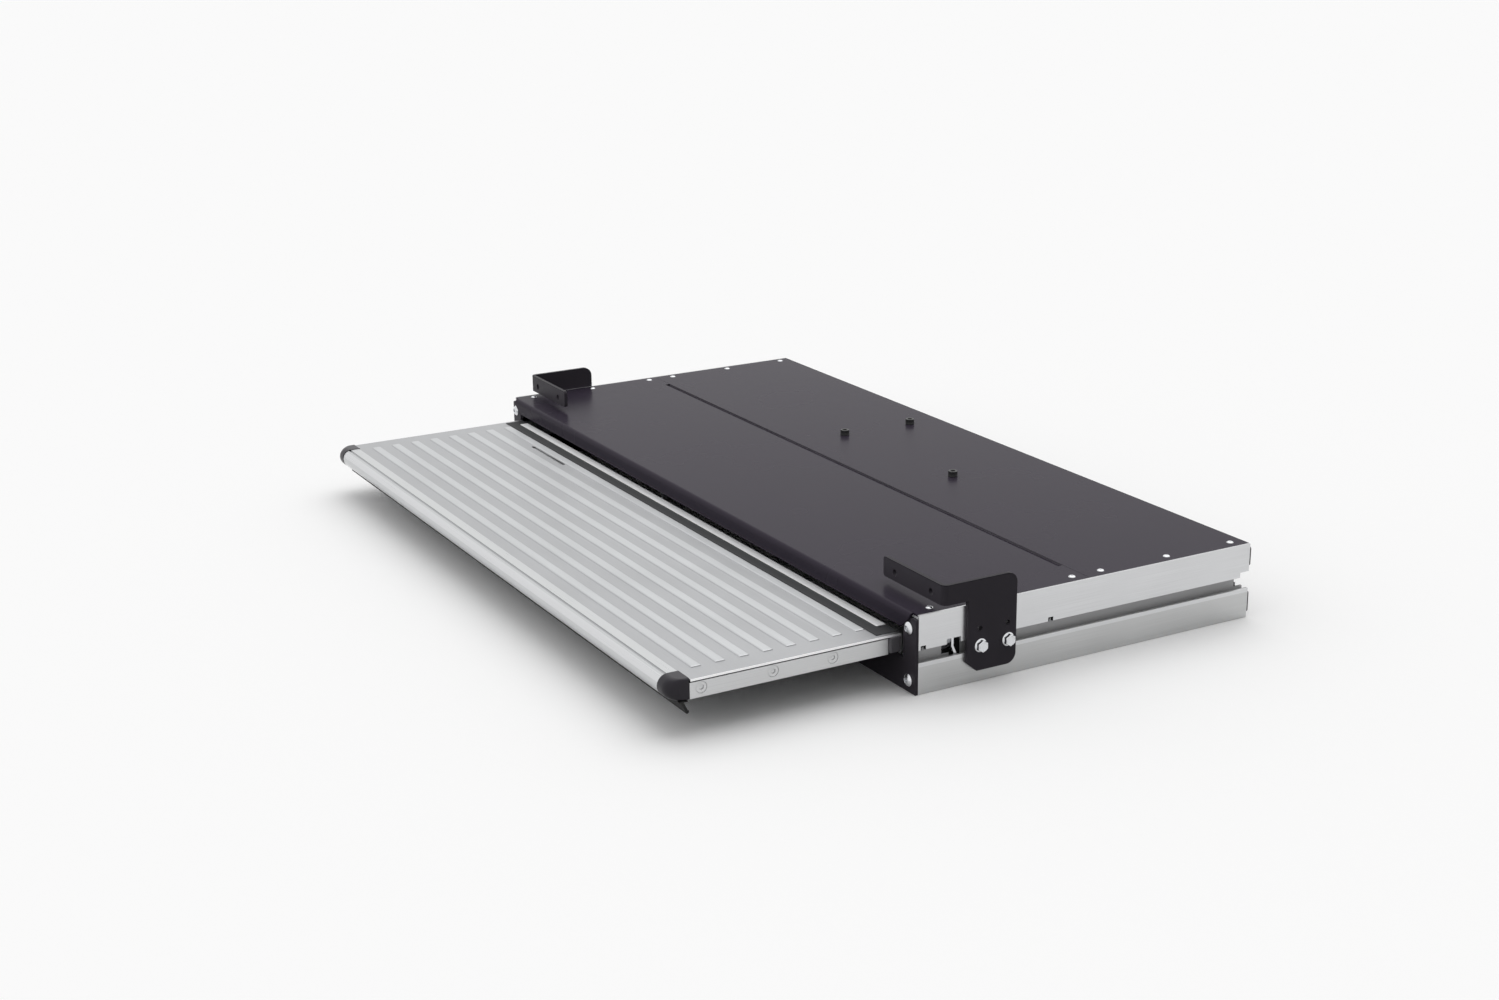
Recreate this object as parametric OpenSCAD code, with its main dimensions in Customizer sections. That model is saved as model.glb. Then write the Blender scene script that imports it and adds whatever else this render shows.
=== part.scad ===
// Caravan pull out step: a flat cassette that hangs under the doorway, with a ribbed
// tread that slides out of its front on rollers and is driven by a belt.
// X runs across the step, Y from the front edge to the back, Z up from the underside.
// The origin is on the underside, midway between the rails, level with their front ends.
// The tread is modelled pulled out, and slides in along +Y by slide_stroke.

/* [Cassette] */
// Width over the two side rails
cassette_w = 880; // [800:1:1100]
// Length of the side rails, front to back
cassette_d = 380; // [370:1:440]
// Height from the underside to the top of the cover
cassette_h = 75; // [74:1:84]
// Thickness of the cover sheets
cover_t = 2; // [1.2:0.1:2.5]
// Gap between the front and the rear cover sheet
cover_gap = 4; // [2:0.5:5]
// Length of the rear cover sheet
rear_cover_d = 191; // [185:1:200]
// Height of the folded front edge of the front cover
cover_lip_h = 15.4; // [8:0.2:17]
// How far the corners of the folded front edge are cut back
cover_lip_cut = 13; // [6:1:16]

/* [Side rails] */
// Width of a side rail
rail_w = 20; // [20:0.5:24]
// Wall thickness of a side rail
rail_wall = 2; // [1.6:0.1:2.2]
// Depth of the middle of the roller track below the cover's top
track_drop = 32; // [31.6:0.1:32.4]
// Inside height of the roller track
track_h = 22; // [20:0.5:23]
// Depth of the roller track
track_depth = 9.5; // [9.3:0.1:9.7]
// Depth of the middle of the outer slot below the cover's top
slot_drop = 39; // [38.6:0.1:39.2]
// Width of the mouth of the outer slot
slot_mouth = 12; // [10:0.2:12.2]
// Thickness of the lips of the outer slot
slot_lip = 2.5; // [2:0.1:3]
// Inside height of the outer slot
slot_h = 18; // [17:0.2:18.4]
// Outer radius of the screw ports inside a rail
port_r = 5; // [4.6:0.1:5.4]
// Height of the lower screw port
port_low_z = 12; // [11:0.5:14]
// Depth of the upper screw port below the cover's top
port_drop = 14; // [13:0.5:14.5]
// Height of the assembly window and of the notch at the back
window_h = 17; // [15:1:20]
// Length of the assembly window
window_len = 15; // [12:1:18]
// Distance of the assembly window from the front
window_y = 30; // [26:1:31]
// Length of the notch at the back of a rail
notch_len = 10.5; // [8:0.5:12]
// Height of the two small holes in a rail's outer wall above the middle of the slot
drain_rise = 7; // [6:0.5:10]
// Distance of the rear one of these holes from the front
drain_rear_y = 144; // [120:1:160]

/* [End plates] */
// Thickness of the front crossbar
front_t = 3; // [2.5:0.5:4]
// Gap between the front crossbar and the tread above it
crossbar_gap = 3.5; // [2:0.5:6]
// Depth of the folded bottom lip of the crossbar
crossbar_lip = 25; // [15:1:35]
// Thickness of the rear plate
rear_t = 2; // [1.5:0.5:3]

/* [Mounting brackets] */
// Thickness of a bracket
bracket_t = 4; // [3:0.5:5]
// Front edge of a bracket's leg
leg_front = 49.5; // [48:0.5:52]
// Rear edge of a bracket's leg
leg_rear = 102.5; // [102:0.5:112]
// Lower end of a bracket's leg
leg_low = 12; // [10:1:16]
// Height of a bracket's top above the cover
bracket_rise = 24; // [19:1:35]
// Height of a bracket's flange
flange_h = 19; // [16:1:19]
// Front face of a bracket's flange
flange_y = 23; // [22:0.5:30]
// Length of a bracket's flange across the step, from the rail's outer face
flange_len = 93; // [90:1:130]
// Distance between the two holes in a bracket's flange
flange_hole_gap = 58; // [50:1:62]
// Radius of the holes in a bracket's flange
flange_hole_r = 3.3; // [2.5:0.1:4]
// Distance between a bracket's two bolts
bracket_bolt_gap = 30; // [28:1:32]
// Width of the bracket bolts' heads across their flats
bolt_flats = 10; // [9:0.5:11]
// Radius of the collar under a bracket bolt's head
bolt_collar_r = 6.5; // [6:0.1:7.1]

/* [Tread] */
// Gap between the tread's edge and the rail beside it
tread_gap = 3; // [3:0.5:6]
// How far the nose stands out in front of the rails beyond the travel
nose_reach = 24; // [23:0.5:26]
// Distance of the tread's rear edge in front of the rails
tread_back = 3; // [2:0.5:4]
// Depth of the flat top of the tread below the cover's top
tread_drop = 23; // [22.8:0.1:23.2]
// Height of the tread from its underside to its flat top
tread_h = 18.5; // [18:0.1:18.8]
// Thickness of the tread's sheet
tread_t = 2; // [1.5:0.1:2.2]
// Number of ribs across the tread
rib_count = 8; // [4:1:8]
// Distance from the foremost rib to the seam of the nose profile
rib_front_gap = 13.8; // [8:0.1:20]
// Width of a rib
rib_w = 10.8; // [8:0.1:12]
// Height of a rib
rib_h = 1; // [0.5:0.1:1.2]
// Distance from the ends of the ribs to the edges of the tread
rib_inset = 22.5; // [16:0.5:30]
// Width of the rubber strip along the rear of the tread
rubber_w = 23; // [18:0.5:24]
// Thickness of the rubber strip
rubber_t = 0.6; // [0.4:0.1:0.8]
// Width of the bright strip on the rubber strip
trim_w = 9.5; // [6:0.5:10]
// Distance of the bright strip from the rear edge of the tread
trim_inset = 2; // [0:0.5:4]
// Thickness of the bright strip
trim_t = 1; // [0.6:0.1:1.2]
// Thickness of a side bar
side_bar_t = 7.4; // [6:0.1:8]
// Length of the drain slot in the tread
drain_len = 83; // [60:1:100]
// Distance of the drain slot's middle from the tread's left edge
drain_inset = 157; // [80:1:300]
// Distance of the foremost side screw from the tip of the nose
side_screw_first = 33; // [32:1:40]
// Distances of the other two side screws from the first
side_screw_gap = 70; // [60:1:75]
side_screw_gap_rear = 60; // [50:1:65]
// Distance of the foremost channel under the sheet from the tip of the nose
channel_first = 51; // [50:1:60]
// Distance from one channel to the next
channel_pitch = 55; // [40:1:55]
// Width of the nose profile in front of the tread's sheet
nose_back = 20.5; // [20:0.5:22]
// Width of an end cap across the step
cap_w = 20; // [18:1:22]
// Length of an end cap from the tip of the nose
cap_len = 21.5; // [21:0.5:23]
// Wall thickness of the nose profile
nose_wall = 2; // [1.6:0.1:2.4]
// Thickness of the rubber seal under the nose
seal_t = 2.5; // [2:0.1:3]
// Depth of the rubber seal below the nose
seal_drop = 10.2; // [8:0.2:11]

/* [Slide] */
// Distance that the rear rollers keep from the rails' rear ends when the tread is in
slide_rest = 23; // [20:1:40]
// Radius of a roller
roller_r = 10.7; // [9.6:0.1:10.75]
// Width of a roller
roller_w = 6.8; // [6:0.1:7]
// Radius of a roller's axle
axle_r = 4; // [3.5:0.1:4.5]
// Place of the front rollers behind the rails' front ends
front_roller_y = 36; // [34:1:40]
// Place of the rear rollers behind the rails' front ends
rear_roller_y = 145; // [120:1:146]
// Thickness of an arm beside the side bar
arm_t = 8; // [6:0.5:10]

/* [Drive] */
// Place of the belt across the step
belt_x = -88; // [-100:1:-76]
// Distance of the drive pulley from the rails' rear ends
drive_back = 84; // [80:1:86]
// Place of the idler pulley behind the rails' front ends
idler_y = 20; // [20:1:21]
// Radius of the pulleys over their teeth
pulley_r = 16; // [15:0.5:16.5]
// Number of teeth on a pulley
pulley_teeth = 20; // [16:1:24]
// Thickness of the belt
belt_t = 1.5; // [1:0.1:2]
// Width of the belt
belt_w = 10; // [8:0.5:10]
// Depth of the belt's lower edge below the cover's top
belt_drop = 18; // [17.6:0.1:18]
// Distance of the gearbox screws from the drive pulley's axis
gearbox_screw_gap = 44; // [42:1:46]
// Distance of the motor's axis in front of the drive pulley's
motor_lead = 32; // [30:1:34]
// Length of the motor
motor_len = 146; // [120:1:160]
// Radius of the motor
motor_r = 20; // [18:0.5:21]
// Radius of the drive shaft
shaft_r = 5; // [4:0.1:5.5]

/* [Hidden] */
$fn = 64;

// Running clearance of a pin or shaft in its hole, and play between a slide and its guide
fit = 0.05;
play = 0.3;
past = 1;

half_w = cassette_w / 2;
rail_x = half_w - rail_w;
cover_z = cassette_h - cover_t;
track_z = cassette_h - track_drop;
slot_z = cassette_h - slot_drop;
port_high_z = cassette_h - port_drop;
window_top = slot_z - slot_mouth / 2 + window_h;
drain_z = slot_z + drain_rise;
tread_top = cassette_h - tread_drop;
tread_base = tread_top - tread_h;
crossbar_h = tread_base - crossbar_gap;
slot_floor = slot_z - slot_h / 2;
slot_roof = slot_z + slot_h / 2;
slot_back = track_depth + rail_wall;
track_floor = track_z - track_h / 2;
track_roof = track_z + track_h / 2;
port_x = rail_x + rail_w / 2;
m6_r = 3;
m5_r = 2.5;

// Covers and what fastens them
lip_r = 5;
rail_lip = 1.8;
cover_half = half_w - rail_lip - 0.2;
lip_half = half_w - 9;
rivet_r = 2;
rivet_head_r = 3.4;
rivet_head_h = 1.4;
rivet_x = half_w - 12;
cover_split = cassette_d - rear_cover_d - cover_gap;
cover_seam = cassette_d - rear_cover_d;
tongue_half = rail_x - 18;
tab_in = tongue_half - 4;
tongue_back = cover_seam + 8;
tongue_front = cover_split - 8;
front_rivet_first = 19;
front_rivet_last = cover_split - 9;
rear_rivet_inset = 20;
rear_rivet_first = cover_seam + rear_rivet_inset;
rear_rivet_last = cassette_d - 15;
front_rivets = [for (i = [0:2])
    front_rivet_first + i * (front_rivet_last - front_rivet_first) / 2];
rear_rivets = [for (i = [0:2])
    rear_rivet_first + i * (rear_rivet_last - rear_rivet_first) / 2];
bolt_head_r = 6;
bolt_head_h = 4.5;
bolt_dome_r = 8.75;
port_depth = 22;
rear_fold = 18;
rear_ears_z = [[5, 26], [port_high_z - 9, port_high_z + 10]];

// Brackets
bracket_top = cassette_h + bracket_rise;
flange_z = bracket_top - flange_h / 2 - 1.5;
bend_r = 6;
bend_in_r = bend_r - bracket_t;
bracket_out = half_w + bracket_t;
flange_in = half_w - flange_len;
flange_hole_x = flange_in + flange_len / 2 + 1.5;
bracket_bolt_y = (leg_front + leg_rear) / 2 + 2.5;
bracket_bolts_y = [bracket_bolt_y - bracket_bolt_gap / 2, bracket_bolt_y + bracket_bolt_gap / 2];
spare_hole_z = slot_z + 16;
collar_t = 1.2;
bolt_hex_h = 4;
nut_t = 4.8;
nut_half = slot_h / 2 - 0.6;

// Tread
slide_stroke = cassette_d - slide_rest - rear_roller_y;
reach = slide_stroke + nose_reach;
tread_half = rail_x - tread_gap;
sheet_z = tread_top - tread_t;
cap_r = (tread_top - tread_base) / 2 + 0.75;
nose_r = cap_r - 0.25;
cap_y = cap_r - reach;
cap_z = tread_base + cap_r;
nose_y = cap_y + 0.2;
nose_z = tread_base + nose_r;
nose_top = tread_base + 2 * nose_r;
seam_y = nose_back - reach;
cap_back = cap_len - reach;
cap_in = tread_half - cap_w;
rubber_y = -tread_back - rubber_w;
rib_half = tread_half - rib_inset;
rib_pitch = (rubber_y - rib_w - seam_y - rib_front_gap) / (rib_count - 1);
drain_x = drain_inset - tread_half;
drain_r = 1.9;
drain_y = rubber_y - rib_w - 0.4 - drain_r;
groove_y = nose_y - 1.4;
groove_w = 2;
groove_h = 0.9;
side_bar_out = tread_half - 1.6;
side_bar_in = side_bar_out - side_bar_t;
side_bar_rear = -15.6;
side_screw_y = side_screw_first - reach;
side_screws_y = [side_screw_y, side_screw_y + side_screw_gap,
    side_screw_y + side_screw_gap + side_screw_gap_rear];
side_screw_r = 5.2;
side_screw_z = tread_base + 8.6;
arm_in = side_bar_in - arm_t;
arm_back = rear_roller_y + 8;
arm_wide_out = tread_half - 0.5;
arm_base = tread_base + 0.5;
guide_out = rail_x - 1.5;
channel_w = 30;
channel_t = 2;
channels_y = [for (i = [0:2]) channel_first - reach + i * channel_pitch];
beam_front = -22;
beam_back = -4.5;

// Rollers
roller_in = rail_x + play;
roller_out = roller_in + roller_w;
clip_t = 1;
axle_end = roller_out + 0.2 + clip_t + 0.4;
shoulder_r = axle_r + 2.5;

// Drive
drive_y = cassette_d - drive_back;
motor_y = drive_y - motor_lead;
belt_z = cassette_h - belt_drop;
belt_in_r = pulley_r + play;
belt_out_r = belt_in_r + belt_t;
strand_in = belt_x + belt_in_r;
strand_out = belt_x + belt_out_r;
pulley_flange_r = belt_out_r + 1.2;
pulley_flange_t = 1;
groove_depth = 1.8;
groove_low = 0.9;
groove_top = 1.5;
pulley_low = belt_z - play - pulley_flange_t;
pulley_top = belt_z + belt_w + play + pulley_flange_t;
plate_t = 3;
plate_z = cover_z - plate_t;
gearbox_top = pulley_low - 0.7;
gearbox_low = 17;
motor_z = gearbox_low + motor_r;
gearbox_lid_t = 3;
gearbox_left = 38;
gearbox_right = 40;
gearbox_x0 = belt_x - gearbox_left;
gearbox_x1 = belt_x + gearbox_right;
gearbox_y0 = motor_y - motor_r - 2;
gearbox_y1 = drive_y + gearbox_screw_gap + 8;
pillar_r = 6;
bush_r = 8;
bush_len = 8;
motor_end = gearbox_x1 + motor_len;
motor_cap_t = 3;
far_screw_x = motor_end + motor_cap_t + plate_t + 5;
drive_screw_bite = 8;
drive_screws = [[belt_x, drive_y - gearbox_screw_gap], [belt_x, drive_y + gearbox_screw_gap],
    [far_screw_x, motor_y]];
drive_plate_side = 18;
chamber_r = 27;
socket_half = 14;
socket_depth = 14;
socket_low = gearbox_low + 7;
socket_high = gearbox_low + 25;
idler_plate_half = 24;
idler_plate_front = 17;
idler_plate_back = 42;
clamp_y = 38;
clamp_len = 12;
arm_plate_x = strand_out + 8.2;
arm_plate_t = 4;
arm_plate_top = arm_base + 14;
arm_tab_w = 34;
arm_tab_t = 3;
arm_bolts_x = [arm_plate_x + 12, arm_plate_x + 26];
arm_bolt_z = arm_base + 8;

// Helpers: outlines drawn in a plane and pushed along an axis
module along_x(x0, x1) {
    translate([x0, 0, 0]) rotate([90, 0, 90]) linear_extrude(x1 - x0) children();
}
module along_y(y0, y1) {
    translate([0, y1, 0]) rotate([90, 0, 0]) linear_extrude(y1 - y0) children();
}
module along_z(z0, z1) {
    translate([0, 0, z0]) linear_extrude(z1 - z0) children();
}
module box(low, high) {
    translate(low) cube(high - low);
}
module rod_x(x0, x1, y, z, r) {
    translate([x0, y, z]) rotate([0, 90, 0]) cylinder(h = x1 - x0, r = r);
}
module rod_y(y0, y1, x, z, r) {
    translate([x, y0, z]) rotate([-90, 0, 0]) cylinder(h = y1 - y0, r = r);
}
module rod_z(z0, z1, x, y, r) {
    translate([x, y, z0]) cylinder(h = z1 - z0, r = r);
}
// Rectangle from corner a to corner b with round corners
module rounded(a, b, r) {
    translate([a[0] + r, a[1]]) square([b[0] - a[0] - 2 * r, b[1] - a[1]]);
    translate([a[0], a[1] + r]) square([b[0] - a[0], b[1] - a[1] - 2 * r]);
    for (x = [a[0] + r, b[0] - r], y = [a[1] + r, b[1] - r]) translate([x, y]) circle(r);
}
module flat(a, b) {
    translate(a) square(b - a);
}
module both_sides() {
    children();
    mirror([1, 0, 0]) children();
}
// Hexagon across its flats
module hexagon(flats) {
    circle(r = flats / sqrt(3), $fn = 6);
}

// Section of the right rail, from its inner face outwards and from the underside up
module rail_section() {
    difference() {
        union() {
            square([rail_w, cover_z]);
            flat([rail_w - rail_lip, cover_z], [rail_w, cassette_h]);
        }
        flat([rail_wall, rail_wall], [rail_w - rail_wall, slot_floor - rail_wall]);
        flat([rail_wall, rail_wall], [track_depth, track_floor - rail_wall]);
        flat([-past, track_floor], [track_depth, track_roof]);
        flat([slot_back, slot_floor], [rail_w - slot_lip, slot_roof]);
        flat([slot_back, slot_z - slot_mouth / 2], [rail_w + past, slot_z + slot_mouth / 2]);
        flat([slot_back, slot_roof + rail_wall], [rail_w - rail_wall, cover_z - rail_wall]);
        flat([rail_wall, track_roof + rail_wall], [rail_w - rail_wall, cover_z - rail_wall]);
    }
    for (port = [[port_low_z, rail_wall / 2], [port_high_z, track_roof + rail_wall / 2]]) {
        translate([rail_w / 2, port[0]]) circle(port_r);
        flat([rail_w / 2 - 1, port[1]], [rail_w / 2 + 1, port[0]]);
    }
}

module side_rail() {
    color([0.80, 0.81, 0.82]) difference() {
        translate([rail_x, 0, 0]) along_y(0, cassette_d) rail_section();
        for (z = [port_low_z, port_high_z]) {
            rod_y(-past, port_depth, port_x, z, m6_r + fit);
            rod_y(cassette_d - port_depth, cassette_d + past, port_x, z, m5_r + fit);
        }
        box([rail_x + track_depth - past, window_y, slot_z - slot_mouth / 2],
            [half_w + past, window_y + window_len, window_top]);
        box([rail_x - past, cassette_d - notch_len, slot_z - slot_mouth / 2],
            [half_w + past, cassette_d + past, window_top]);
        for (y = [5, drain_rear_y]) rod_x(half_w - rail_wall - past, half_w + past, y, drain_z, 2);
        for (y = concat(front_rivets, rear_rivets))
            rod_z(cover_z - rail_wall - past, cover_z + past, rivet_x, y, rivet_r + fit);
    }
}

module side_rail_right() {
    side_rail();
}

module side_rail_left() {
    mirror([1, 0, 0]) side_rail();
}

// Front cover: a sheet with its front edge rolled down over the tread, and a tongue
// stepped down along its rear that the rear cover lies on
module front_cover() {
    lip_y = -front_t - cover_t;
    lip_low = cassette_h - cover_lip_h;
    color([0.22, 0.21, 0.24]) difference() {
        union() {
            along_z(cover_z, cassette_h) {
                flat([-cover_half, lip_y + lip_r], [cover_half, cover_split - cover_t]);
                both_sides() flat([tab_in, tongue_front], [cover_half, cover_seam - 0.3]);
            }
            along_x(-tongue_half, tongue_half)
                polygon([[tongue_front, cassette_h], [cover_split - cover_t, cassette_h],
                    [cover_split, cover_z], [tongue_back, cover_z], [tongue_back, cover_z - cover_t],
                    [cover_split - cover_t / 2, cover_z - cover_t],
                    [cover_split - 3 * cover_t / 2, cover_z], [tongue_front, cover_z]]);
            along_x(-lip_half, lip_half) {
                flat([lip_y, lip_low], [lip_y + cover_t, cassette_h - lip_r]);
                intersection() {
                    flat([lip_y, cassette_h - lip_r], [lip_y + lip_r, cassette_h]);
                    translate([lip_y + lip_r, cassette_h - lip_r]) difference() {
                        circle(lip_r);
                        circle(lip_r - cover_t);
                    }
                }
            }
        }
        both_sides() along_y(lip_y - past, lip_y + cover_t)
            polygon([[lip_half - cover_lip_cut, lip_low - past / 2], [lip_half + past, lip_low - past],
                [lip_half + past, cassette_h - lip_r], [lip_half, cassette_h - lip_r]]);
        both_sides() for (y = front_rivets)
            rod_z(cover_z - past, cassette_h + past, rivet_x, y, rivet_r + fit);
    }
}

module rear_cover() {
    color([0.22, 0.21, 0.24]) difference() {
        along_z(cover_z, cassette_h)
            flat([-cover_half, cover_seam], [cover_half, cassette_d]);
        both_sides() for (y = rear_rivets)
            rod_z(cover_z - past, cassette_h + past, rivet_x, y, rivet_r + fit);
        for (p = drive_screws) rod_z(cover_z - past, cassette_h + past, p[0], p[1], m6_r + 0.3);
    }
}

// One sheet across the front: a crossbar under the tread and an ear over each rail's end
module front_crossbar() {
    color([0.08, 0.08, 0.09]) difference() {
        union() {
            along_y(-front_t, 0) {
                flat([-half_w, 0], [half_w, crossbar_h]);
                both_sides() {
                    flat([rail_x, crossbar_h - past], [half_w - 2, cassette_h - lip_r]);
                    rounded([lip_half + play, crossbar_h - 6], [half_w, cover_z - 2], 2);
                }
            }
            box([-rail_x + play, -front_t, 0], [rail_x - play, crossbar_lip, front_t]);
        }
        both_sides() for (z = [port_low_z, port_high_z])
            rod_y(-front_t - past, past, port_x, z, m6_r + 0.3);
    }
}

// Rear sheet with ears on the rails' ends and folded edges above and below
module rear_plate() {
    color([0.10, 0.10, 0.11]) difference() {
        union() {
            along_y(cassette_d, cassette_d + rear_t) {
                flat([-rail_x + 2, rear_t], [rail_x - 2, cover_z]);
                both_sides() for (ear = rear_ears_z)
                    rounded([rail_x - 6, ear[0]], [half_w - 0.5, ear[1]], 2);
            }
            for (z = [rear_t, cover_z - rear_t])
                box([-rail_x + 2, cassette_d - rear_fold, z],
                    [rail_x - 2, cassette_d + rear_t, z + rear_t]);
        }
        both_sides() for (z = [port_low_z, port_high_z])
            rod_y(cassette_d - past, cassette_d + rear_t + past, port_x, z, m5_r + 0.3);
    }
}

// Bracket: a leg on the rail, an arm that runs forwards above it and a flange turned inwards
module bracket() {
    arm_low = bracket_top - flange_h;
    corner = 10;
    cut_y = 10.5;
    cut_z = 9;
    color([0.10, 0.10, 0.11]) difference() {
        union() {
            along_x(half_w, bracket_out) difference() {
                union() {
                    rounded([leg_front, leg_low], [leg_rear, bracket_top], corner);
                    flat([leg_front, leg_low], [leg_front + 2 * corner, bracket_top]);
                    flat([flange_y + bend_r, arm_low], [leg_rear - corner, bracket_top]);
                }
                polygon([[leg_front - past, leg_low - past], [leg_front + cut_y, leg_low - past],
                    [leg_front + cut_y, leg_low], [leg_front, leg_low + cut_z],
                    [leg_front - past, leg_low + cut_z]]);
            }
            along_z(arm_low, bracket_top) translate([bracket_out - bend_r, flange_y + bend_r])
                intersection() {
                    difference() {
                        circle(bend_r);
                        circle(bend_in_r);
                    }
                    flat([0, -bend_r], [bend_r, 0]);
                }
            along_y(flange_y, flange_y + bracket_t) {
                flat([flange_in + 3, arm_low], [bracket_out - bend_r, bracket_top]);
                rounded([flange_in, arm_low], [flange_in + 12, bracket_top], 3);
            }
        }
        for (y = bracket_bolts_y) {
            rod_x(half_w - past, bracket_out + past, y, slot_z, m6_r + 0.3);
            rod_x(half_w - past, bracket_out + past, y - 0.5, spare_hole_z, m5_r);
        }
        for (side = [-1, 1]) translate([side * flange_hole_gap / 2, 0, 0])
            rod_y(flange_y - past, flange_y + bracket_t + past, flange_hole_x, flange_z,
                flange_hole_r);
    }
}

module bracket_right() {
    bracket();
}

module bracket_left() {
    mirror([1, 0, 0]) bracket();
}

// Bolts whose hexagon heads stand on a round collar
module bracket_bolts() {
    color([0.85, 0.86, 0.88]) both_sides() for (y = bracket_bolts_y) {
        rod_x(half_w - slot_lip - nut_t - 0.2, bracket_out, y, slot_z, m6_r);
        rod_x(bracket_out, bracket_out + collar_t, y, slot_z, bolt_collar_r);
        translate([0, y, slot_z])
            along_x(bracket_out + collar_t, bracket_out + collar_t + bolt_hex_h)
                hexagon(bolt_flats);
    }
}

// Square nuts in the rails' outer slots
module slot_nuts() {
    nut_x = half_w - slot_lip - nut_t;
    color([0.75, 0.75, 0.77]) both_sides() for (y = bracket_bolts_y) difference() {
        box([nut_x, y - nut_half, slot_z - nut_half],
            [nut_x + nut_t, y + nut_half, slot_z + nut_half]);
        rod_x(nut_x - past, nut_x + nut_t + past, y, slot_z, m6_r + fit);
    }
}

// Domed screws that hold the front crossbar on the rails' ends
module front_plate_bolts() {
    color([0.88, 0.88, 0.90]) both_sides() for (z = [port_low_z, port_high_z]) {
        rod_y(-front_t, port_depth - 2, port_x, z, m6_r);
        translate([port_x, -front_t, z]) rotate([90, 0, 0]) rotate_extrude() difference() {
            intersection() {
                translate([0, bolt_head_h - bolt_dome_r]) circle(bolt_dome_r);
                flat([0, 0], [bolt_head_r, bolt_head_h]);
            }
            flat([-past, bolt_head_h - 2.2], [2, bolt_head_h + past]);
        }
    }
}

module rear_plate_screws() {
    color([0.80, 0.80, 0.82]) both_sides() for (z = [port_low_z, port_high_z]) {
        rod_y(cassette_d - port_depth + 2, cassette_d + rear_t, port_x, z, m5_r);
        difference() {
            rod_y(cassette_d + rear_t, cassette_d + rear_t + 2.6, port_x, z, 4.6);
            translate([port_x, 0, z])
                along_y(cassette_d + rear_t + 1, cassette_d + rear_t + 3) hexagon(3);
        }
    }
}

module cover_rivets() {
    dome_r = (rivet_head_r * rivet_head_r + rivet_head_h * rivet_head_h) / (2 * rivet_head_h);
    color([0.85, 0.85, 0.87]) both_sides() for (y = concat(front_rivets, rear_rivets)) {
        rod_z(cover_z - rail_wall, cassette_h, rivet_x, y, rivet_r);
        translate([rivet_x, y, cassette_h]) rotate_extrude() intersection() {
            translate([0, rivet_head_h - dome_r]) circle(dome_r);
            flat([0, 0], [rivet_head_r, rivet_head_h + past]);
        }
    }
}

// Cap screws that hang the drive from the rear cover
module drive_cap_screws() {
    color([0.06, 0.06, 0.06]) for (p = drive_screws) {
        rod_z(plate_z - plate_t - drive_screw_bite, cassette_h, p[0], p[1], m6_r);
        difference() {
            rod_z(cassette_h, cassette_h + 6, p[0], p[1], 5);
            translate([p[0], p[1], 0]) along_z(cassette_h + 3, cassette_h + 7) hexagon(5);
        }
    }
}

// Bent steel clips seen in the rails' assembly windows, standing on the slot's floor
module track_clips() {
    y0 = window_y + window_len - 5.5;
    knee_z = slot_z + 2;
    color([0.82, 0.83, 0.85]) both_sides()
        along_x(rail_x + slot_back + 0.2, half_w - slot_lip - 0.6)
            polygon([[y0 - 2.5, window_top - 1], [y0, window_top - 1], [y0, knee_z],
                [y0 + 4, slot_floor + 2], [y0 + 4, slot_floor], [y0 + 1, slot_floor],
                [y0 + 1, slot_floor + 2], [y0 - 2.5, knee_z]]);
}

// Plate under the rear cover that carries the drive
module drive_plate() {
    color([0.55, 0.56, 0.58]) difference() {
        along_z(plate_z, cover_z)
            rounded([gearbox_x0 - 6, gearbox_y0 - 4],
                [far_screw_x + drive_plate_side, gearbox_y1 + 8], 8);
        for (p = drive_screws) rod_z(plate_z - past, cover_z + past, p[0], p[1], m6_r + 0.3);
        rod_z(plate_z - past, cover_z + past, belt_x, drive_y, shaft_r + 3);
    }
}

// Gearbox casting: a round chamber for the wheel and two pillars up to the drive plate
module gearbox_housing() {
    color([0.66, 0.67, 0.69]) difference() {
        union() {
            along_z(gearbox_low, gearbox_top)
                rounded([gearbox_x0, gearbox_y0], [gearbox_x1, gearbox_y1], 9);
            for (i = [0, 1])
                rod_z(gearbox_top - past, plate_z, drive_screws[i][0], drive_screws[i][1], pillar_r);
        }
        rod_z(gearbox_low - past, gearbox_top - bush_len, belt_x, drive_y, chamber_r);
        rod_z(gearbox_top - bush_len - past, gearbox_top + past, belt_x, drive_y, bush_r + 0.02);
        for (i = [0, 1]) rod_z(gearbox_top, plate_z + past, drive_screws[i][0], drive_screws[i][1],
            m6_r + fit);
        for (x = [gearbox_x0 + 8, gearbox_x1 - 8], y = [gearbox_y0 + 8, gearbox_y1 - 8])
            rod_z(gearbox_low - past, gearbox_low + 12, x, y, 2 + fit);
    }
}

// Lid under the gearbox with a blind bearing for the shaft's foot
module gearbox_lid() {
    lid_z = gearbox_low - gearbox_lid_t;
    color([0.62, 0.63, 0.65]) difference() {
        union() {
            along_z(lid_z, gearbox_low)
                rounded([gearbox_x0, gearbox_y0], [gearbox_x1, gearbox_y1], 9);
            rod_z(gearbox_low - past, gearbox_low + 7, belt_x, drive_y, 9);
        }
        rod_z(lid_z + 1.2, gearbox_low + 8, belt_x, drive_y, shaft_r + fit);
        for (x = [gearbox_x0 + 8, gearbox_x1 - 8], y = [gearbox_y0 + 8, gearbox_y1 - 8])
            rod_z(lid_z - past, gearbox_low + past, x, y, 2.2);
    }
}

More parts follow.
